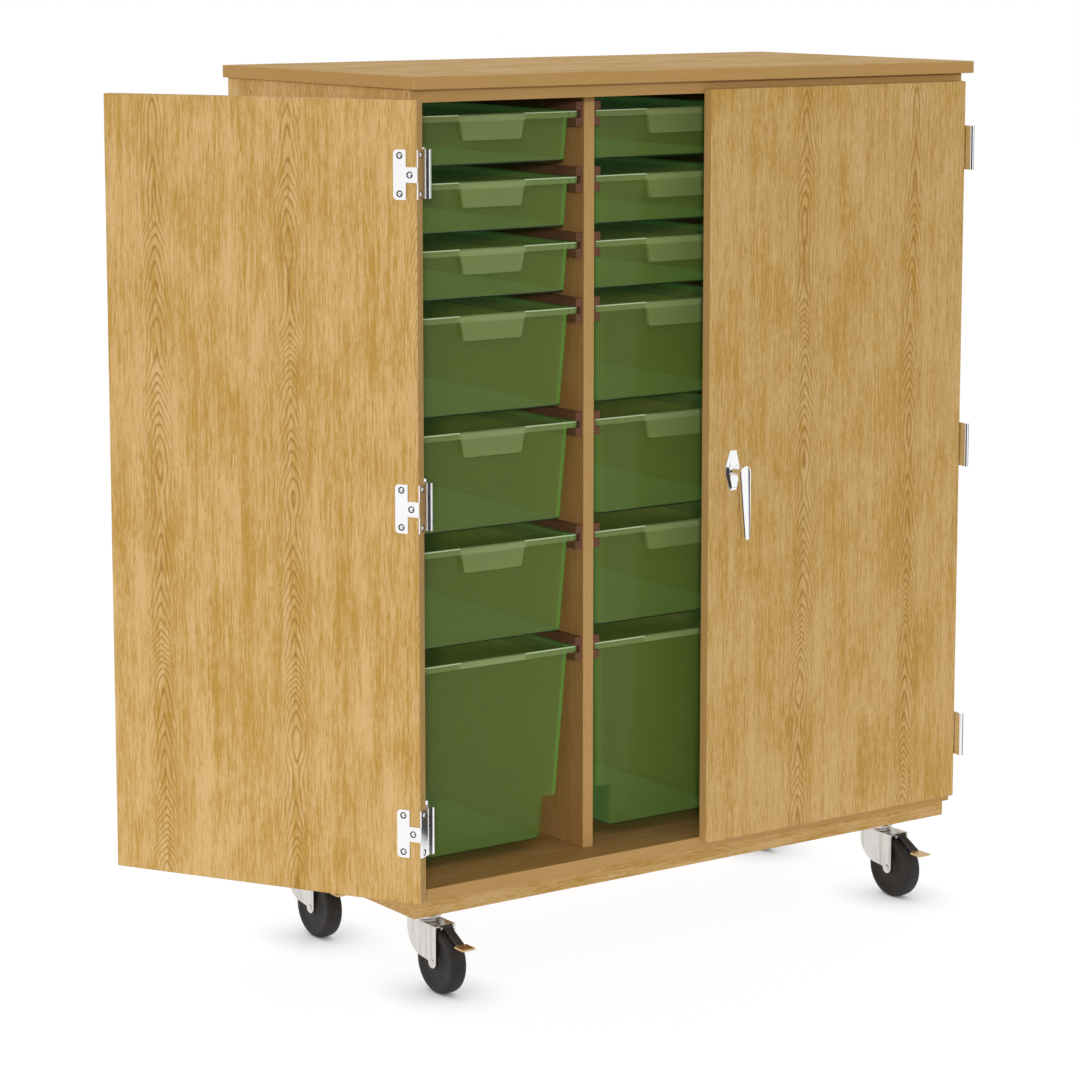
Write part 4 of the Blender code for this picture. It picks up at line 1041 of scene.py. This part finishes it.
# Casters, each drawn about its axle
def fork_pattern():
    """A bent sheet fork with a raised cup, kingpin, axle with round heads, and the brake's ears."""
    half = FORK_INSIDE / 2
    outside = half + FORK_SHEET
    front = -0.010
    heel_end = 0.067
    heel = arc((0.027, 0.042), 0.040, -80, 0, 14)
    toe = arc((0, 0), -front, 180, 360, 14)
    outline = [(front, FORK_TOP + 0.01), *toe, *heel, (heel_end, FORK_TOP + 0.01)]
    fork = box("fork", (-outside, front - 0.01, -0.02), (outside, heel_end + 0.01, FORK_TOP))
    cut(fork, box("inside", (-half, front - 0.02, -0.03), (half, heel_end + 0.02, FORK_TOP - FORK_SHEET)))
    combine(fork, "INTERSECT", plate("side", outline, 0.06, FACING_SIDE))
    rounded(fork, 0.0009, 3, 40)
    union(fork, rod("axle", (-outside + 0.001, 0, 0), (outside - 0.001, 0, 0), 0.005))
    nut = [(0, -0.001), (0.0046, -0.001), (0.0046, 0.0008), (0.0038, 0.0014), (0, 0.0015)]
    for side in (-1, 1):
        union(fork, turned("nut", nut, 32, at((side * outside, 0, 0), "Y", side * 90)))
    cup_top = FORK_TOP + 0.0085
    cup = [(0, cup_top + 0.0130), (0.005, cup_top + 0.0130), (0.005, cup_top), (0.0196, cup_top),
           (0.021, cup_top - 0.0014), (0.021, cup_top - 0.0050), (0.0190, FORK_TOP + 0.0010),
           (0.0190, FORK_TOP - 0.001), (0, FORK_TOP - 0.001)]
    union(fork, turned("cup", cup, 48, at((0, TRAIL, 0))))
    ear_in = 0.0093
    ear_sheet = 0.0025
    for low in (-ear_in - ear_sheet, ear_in):
        union(fork, box("ear", (low, -0.0167, 0.0513), (low + ear_sheet, -0.007, FORK_TOP - 0.001)))
    pin = ear_in + ear_sheet / 2
    union(fork, rod("brake_pin", (-pin, *BRAKE_PIVOT), (pin, *BRAKE_PIVOT), 0.0015, 16))
    return smooth(fork)


def wheel_pattern():
    """A solid wheel: crowned tread with a moulded ridge each side, dished sides and a raised hub."""
    steps = ((0.0054, 0.0003), (0.0125, 0.0003), (0.0135, 0.0012), (0.0160, 0.0030), (0.0300, 0.0030),
             (0.0345, 0.0022), (0.0375, 0.0008), (0.0395, 0.0002), (0.0440, 0.0002), (0.0462, 0.0010),
             (0.0480, 0.0026), (0.0492, 0.0052), (0.0498, 0.0090))
    side = [(radius, WHEEL_HALF - sunk) for radius, sunk in steps]
    profile = side + [(WHEEL_RADIUS, 0)] + [(radius, -across) for radius, across in reversed(side)]
    return smooth(turned("wheel", profile, 72, at((0, 0, 0), "Y", 90), closed=True), 40)


def brake_pattern():
    """A pedal with its tube on the fork's pin, an arm over the tread, a shoe and a rolled foot tab."""
    tube = 0.009
    pivot_y, pivot_z = BRAKE_PIVOT
    start_y, start_z = -0.052, 0.034
    half = 0.0015
    bar = [(pivot_y, pivot_z + half), (-0.030, 0.0483), (start_y - half, start_z + half),
           (start_y - half, start_z - half), (start_y + half, start_z - half), (-0.030, 0.0448),
           (pivot_y, pivot_z - half)]
    arm = plate("arm", bar, 0.012, FACING_SIDE)
    pedal = [(start_y + half, start_z - half), (start_y + half, start_z + half), (-0.066, 0.0350),
             (-0.073, 0.0352), (-0.073, 0.0322), (-0.066, 0.0320)]
    union(arm, plate("pedal", pedal, 0.022, FACING_SIDE))
    rounded(arm, 0.0004)
    over_tread = [(-ahead, sqrt(0.0514 ** 2 - ahead ** 2)) for ahead in (0.0268, 0.031, 0.0352)]
    shoe = plate("shoe", [(-0.0352, 0.0430), (-0.0268, 0.0474), *over_tread], 0.010, FACING_SIDE)
    brake = rod("brake", (-tube, *BRAKE_PIVOT), (tube, *BRAKE_PIVOT), 0.0032, 28)
    union(brake, arm, shoe)
    cut(brake, rod("bore", (-tube - 0.002, *BRAKE_PIVOT), (tube + 0.002, *BRAKE_PIVOT), 0.0019, 20))
    smooth(brake)
    tab = brake.data.attributes.new("pedal_share", "FLOAT", "POINT")
    for vertex in brake.data.vertices:
        tab.data[vertex.index].value = 1.0 if vertex.co.y < start_y + 0.003 else 0.0
    return brake


def mount_pattern(bottom):
    """The plate under the base with its round upper race; the swivel axis is the origin."""
    outline = rounded_outline(-0.032, 0.032, -0.046, 0.046, (0.006, 0.006, 0.006, 0.006))
    top = plate("plate", outline, CASTER_PLATE, at((0, 0, bottom - CASTER_PLATE / 2)))
    rounded(top, 0.0005)
    low = bottom - CASTER_PLATE - 0.0145
    race = [(0, bottom - 0.001), (0.024, bottom - 0.001), (0.024, bottom - 0.0040), (0.0258, bottom - 0.0075),
            (0.027, bottom - 0.0105), (0.027, low + 0.0008), (0.0262, low), (0, low)]
    union(top, turned("race", race, 56, IDENTITY))
    cut(top, rod("kingpin_bore", (0, 0, low - 0.002), (0, 0, bottom - 0.0033), 0.0055, 32))
    return smooth(top)


base_low, base_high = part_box("caster_base")
BASE_BOTTOM = base_low.z + CASTER_PLATE + 0.0145
board = box("base_board", Vector((base_low.x, base_low.y, BASE_BOTTOM)) - SHIFT, base_high - SHIFT)
rounded(board, 0.0008)
fork = fork_pattern()
wheel = wheel_pattern()
brake = brake_pattern()
mount = mount_pattern(BASE_BOTTOM)
placed("base_board_veneered", board, IDENTITY, OAK_BASE, "carcass", "oak_veneer", "caster_base")
plate_spots = []
for corner in ("front_left", "front_right", "rear_left", "rear_right"):
    low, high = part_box(f"wheel_{corner}")
    axle = (low + high) / 2 - SHIFT
    place = at(axle)
    for kind, pattern, finish, slot in (("fork", fork, STEEL, "bright_steel"),
                                        ("wheel", wheel, RUBBER, "wheel_rubber"),
                                        ("brake", brake, BRAKE_FINISH, "bright_steel")):
        node = f"{kind}_{corner}"
        placed(f"caster_{node}", pattern, place, finish, node, slot, node)
    x, y = axle.x, axle.y + TRAIL
    placed(f"caster_plate_{corner}", mount, at((x, y, 0)), STEEL, "carcass", "bright_steel")
    plate_spots += [((x + dx, y + dy, BASE_BOTTOM - CASTER_PLATE), (0, 0, -1))
                    for dx in (-0.0255, 0.0255) for dy in (-0.0385, 0.0385)]
discard(board, fork, wheel, brake, mount)
screws("caster_plate_screws", STEEL_SCREWS, plate_spots, PLATE_BOLT, "carcass")


# Camera: fitted to points of the photo, with its focal length in the photo's pixels
FRAME_PIXELS = 1080
FOCAL_PIXELS = 3346.3443
YAW = radians(35.1414)
PITCH = radians(8.4045)
camera_data = bpy.data.cameras.new("camera")
camera_data.lens = FOCAL_PIXELS / FRAME_PIXELS * camera_data.sensor_width
camera_data.shift_y = -0.1
camera = add_object("camera", camera_data)
bpy.context.scene.camera = camera
camera.location = Vector((-2.5884258, -3.9952629, 1.5627853)) + SHIFT


def towards(bearing, height):
    """The way that has this compass bearing and height above the horizon."""
    return Vector((sin(bearing) * cos(height), cos(bearing) * cos(height), sin(height)))


camera.rotation_mode = "QUATERNION"
camera.rotation_quaternion = towards(YAW, -PITCH).to_track_quat("-Z", "Y")


# Floor and studio: the black cards are given as middle and half width in degrees, and depth
DARK_CARDS = ((-146.0, 29.0, 0.95), (126.0, 13.0, 0.95))


def dark_cards(x, y):
    """How dark the studio is by compass bearing: black cards that only polished metal reflects."""
    bearing = x.math("ARCTAN2", y) * (180 / pi)
    dark = 0.0
    for middle, half, depth in DARK_CARDS:
        dark = ((half - abs(bearing - middle)) / 3.0 + 0.5).clamp() * depth + dark
    return dark


def floor_shader(size):
    """A white floor: the camera sees it white with soft contact shadows, and it lights the part as a card."""
    bm = bmesh.new()
    bmesh.ops.create_grid(bm, x_segments=1, y_segments=1, size=size / 2)
    floor = from_bmesh("floor", bm)
    floor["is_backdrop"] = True
    paper = Finish("floor")
    near = paper.node("AmbientOcclusion", {"samples": 16}, Distance=0.09).other("AO")
    x, y, z = paper.split(paper.place)
    away = (x * x + y * y).math("SQRT")
    rays = paper.node("LightPath", {})
    glossy = rays.other("Is Glossy Ray")
    shaded = glossy * dark_cards(x, y) * ((away - 1.1) * 4.0).clamp()
    seen = paper.node("Emission", {}, Strength=0.94 * near ** 0.8)
    lit = paper.node("BsdfDiffuse", {}, Color=(0.12, 0.12, 0.12))
    white = paper.node("AddShader", {}, seen, lit)
    black = paper.node("Emission", {}, Strength=0.0)
    card = paper.node("BsdfDiffuse", {}, Color=0.95 - 0.45 * ((away - 1.2) * 0.8).clamp())
    shown = paper.node("MixShader", {}, shaded, white, black)
    watched = rays.other("Is Camera Ray").math("MAXIMUM", glossy)
    mixed = paper.node("MixShader", {}, watched, card, shown)
    paper.tree.links.new(mixed.socket, paper.tree.nodes["Material Output"].inputs["Surface"])
    floor.data.materials.append(paper.material)


def studio_world(light):
    """White all round for the camera, plain light for the part, and the dark cards low down."""
    world = bpy.data.worlds.new("studio")
    bpy.context.scene.world = world
    world.use_nodes = True
    studio = Nodes(world.node_tree)
    x, y, z = studio.split(studio.node("TexCoord", {}).other("Generated"))
    seen = 1.0 - dark_cards(x, y) * ((0.10 - z) * 20.0).clamp()
    rays = studio.node("LightPath", {})
    glossy = rays.other("Is Glossy Ray")
    camera_ray = rays.other("Is Camera Ray")
    background = world.node_tree.nodes["Background"]
    background.inputs["Color"].default_value = (1, 1, 1, 1)
    studio.feed(background.inputs["Strength"],
                camera_ray + (1.0 - camera_ray) * (glossy * seen + (1.0 - glossy) * light))


def soft_sun(name, bearing, height, strength, spread):
    """A distant soft lamp at a compass bearing and a height above the horizon, in degrees."""
    data = bpy.data.lights.new(name, "SUN")
    data.energy = strength
    data.angle = radians(spread)
    lamp = add_object(name, data)
    lamp.rotation_mode = "QUATERNION"
    lamp.rotation_quaternion = towards(radians(bearing), radians(height)).to_track_quat("Z", "Y")
    lamp.visible_glossy = False


floor_shader(30.0)
studio_world(0.52)
soft_sun("key", 215.0, 8.4, 1.15, 5.0)
soft_sun("side", 262.0, 8.0, 0.50, 20.0)
soft_sun("back", 35.0, 25.0, 0.80, 20.0)
bpy.context.scene.view_settings.view_transform = "Standard"

low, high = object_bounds()
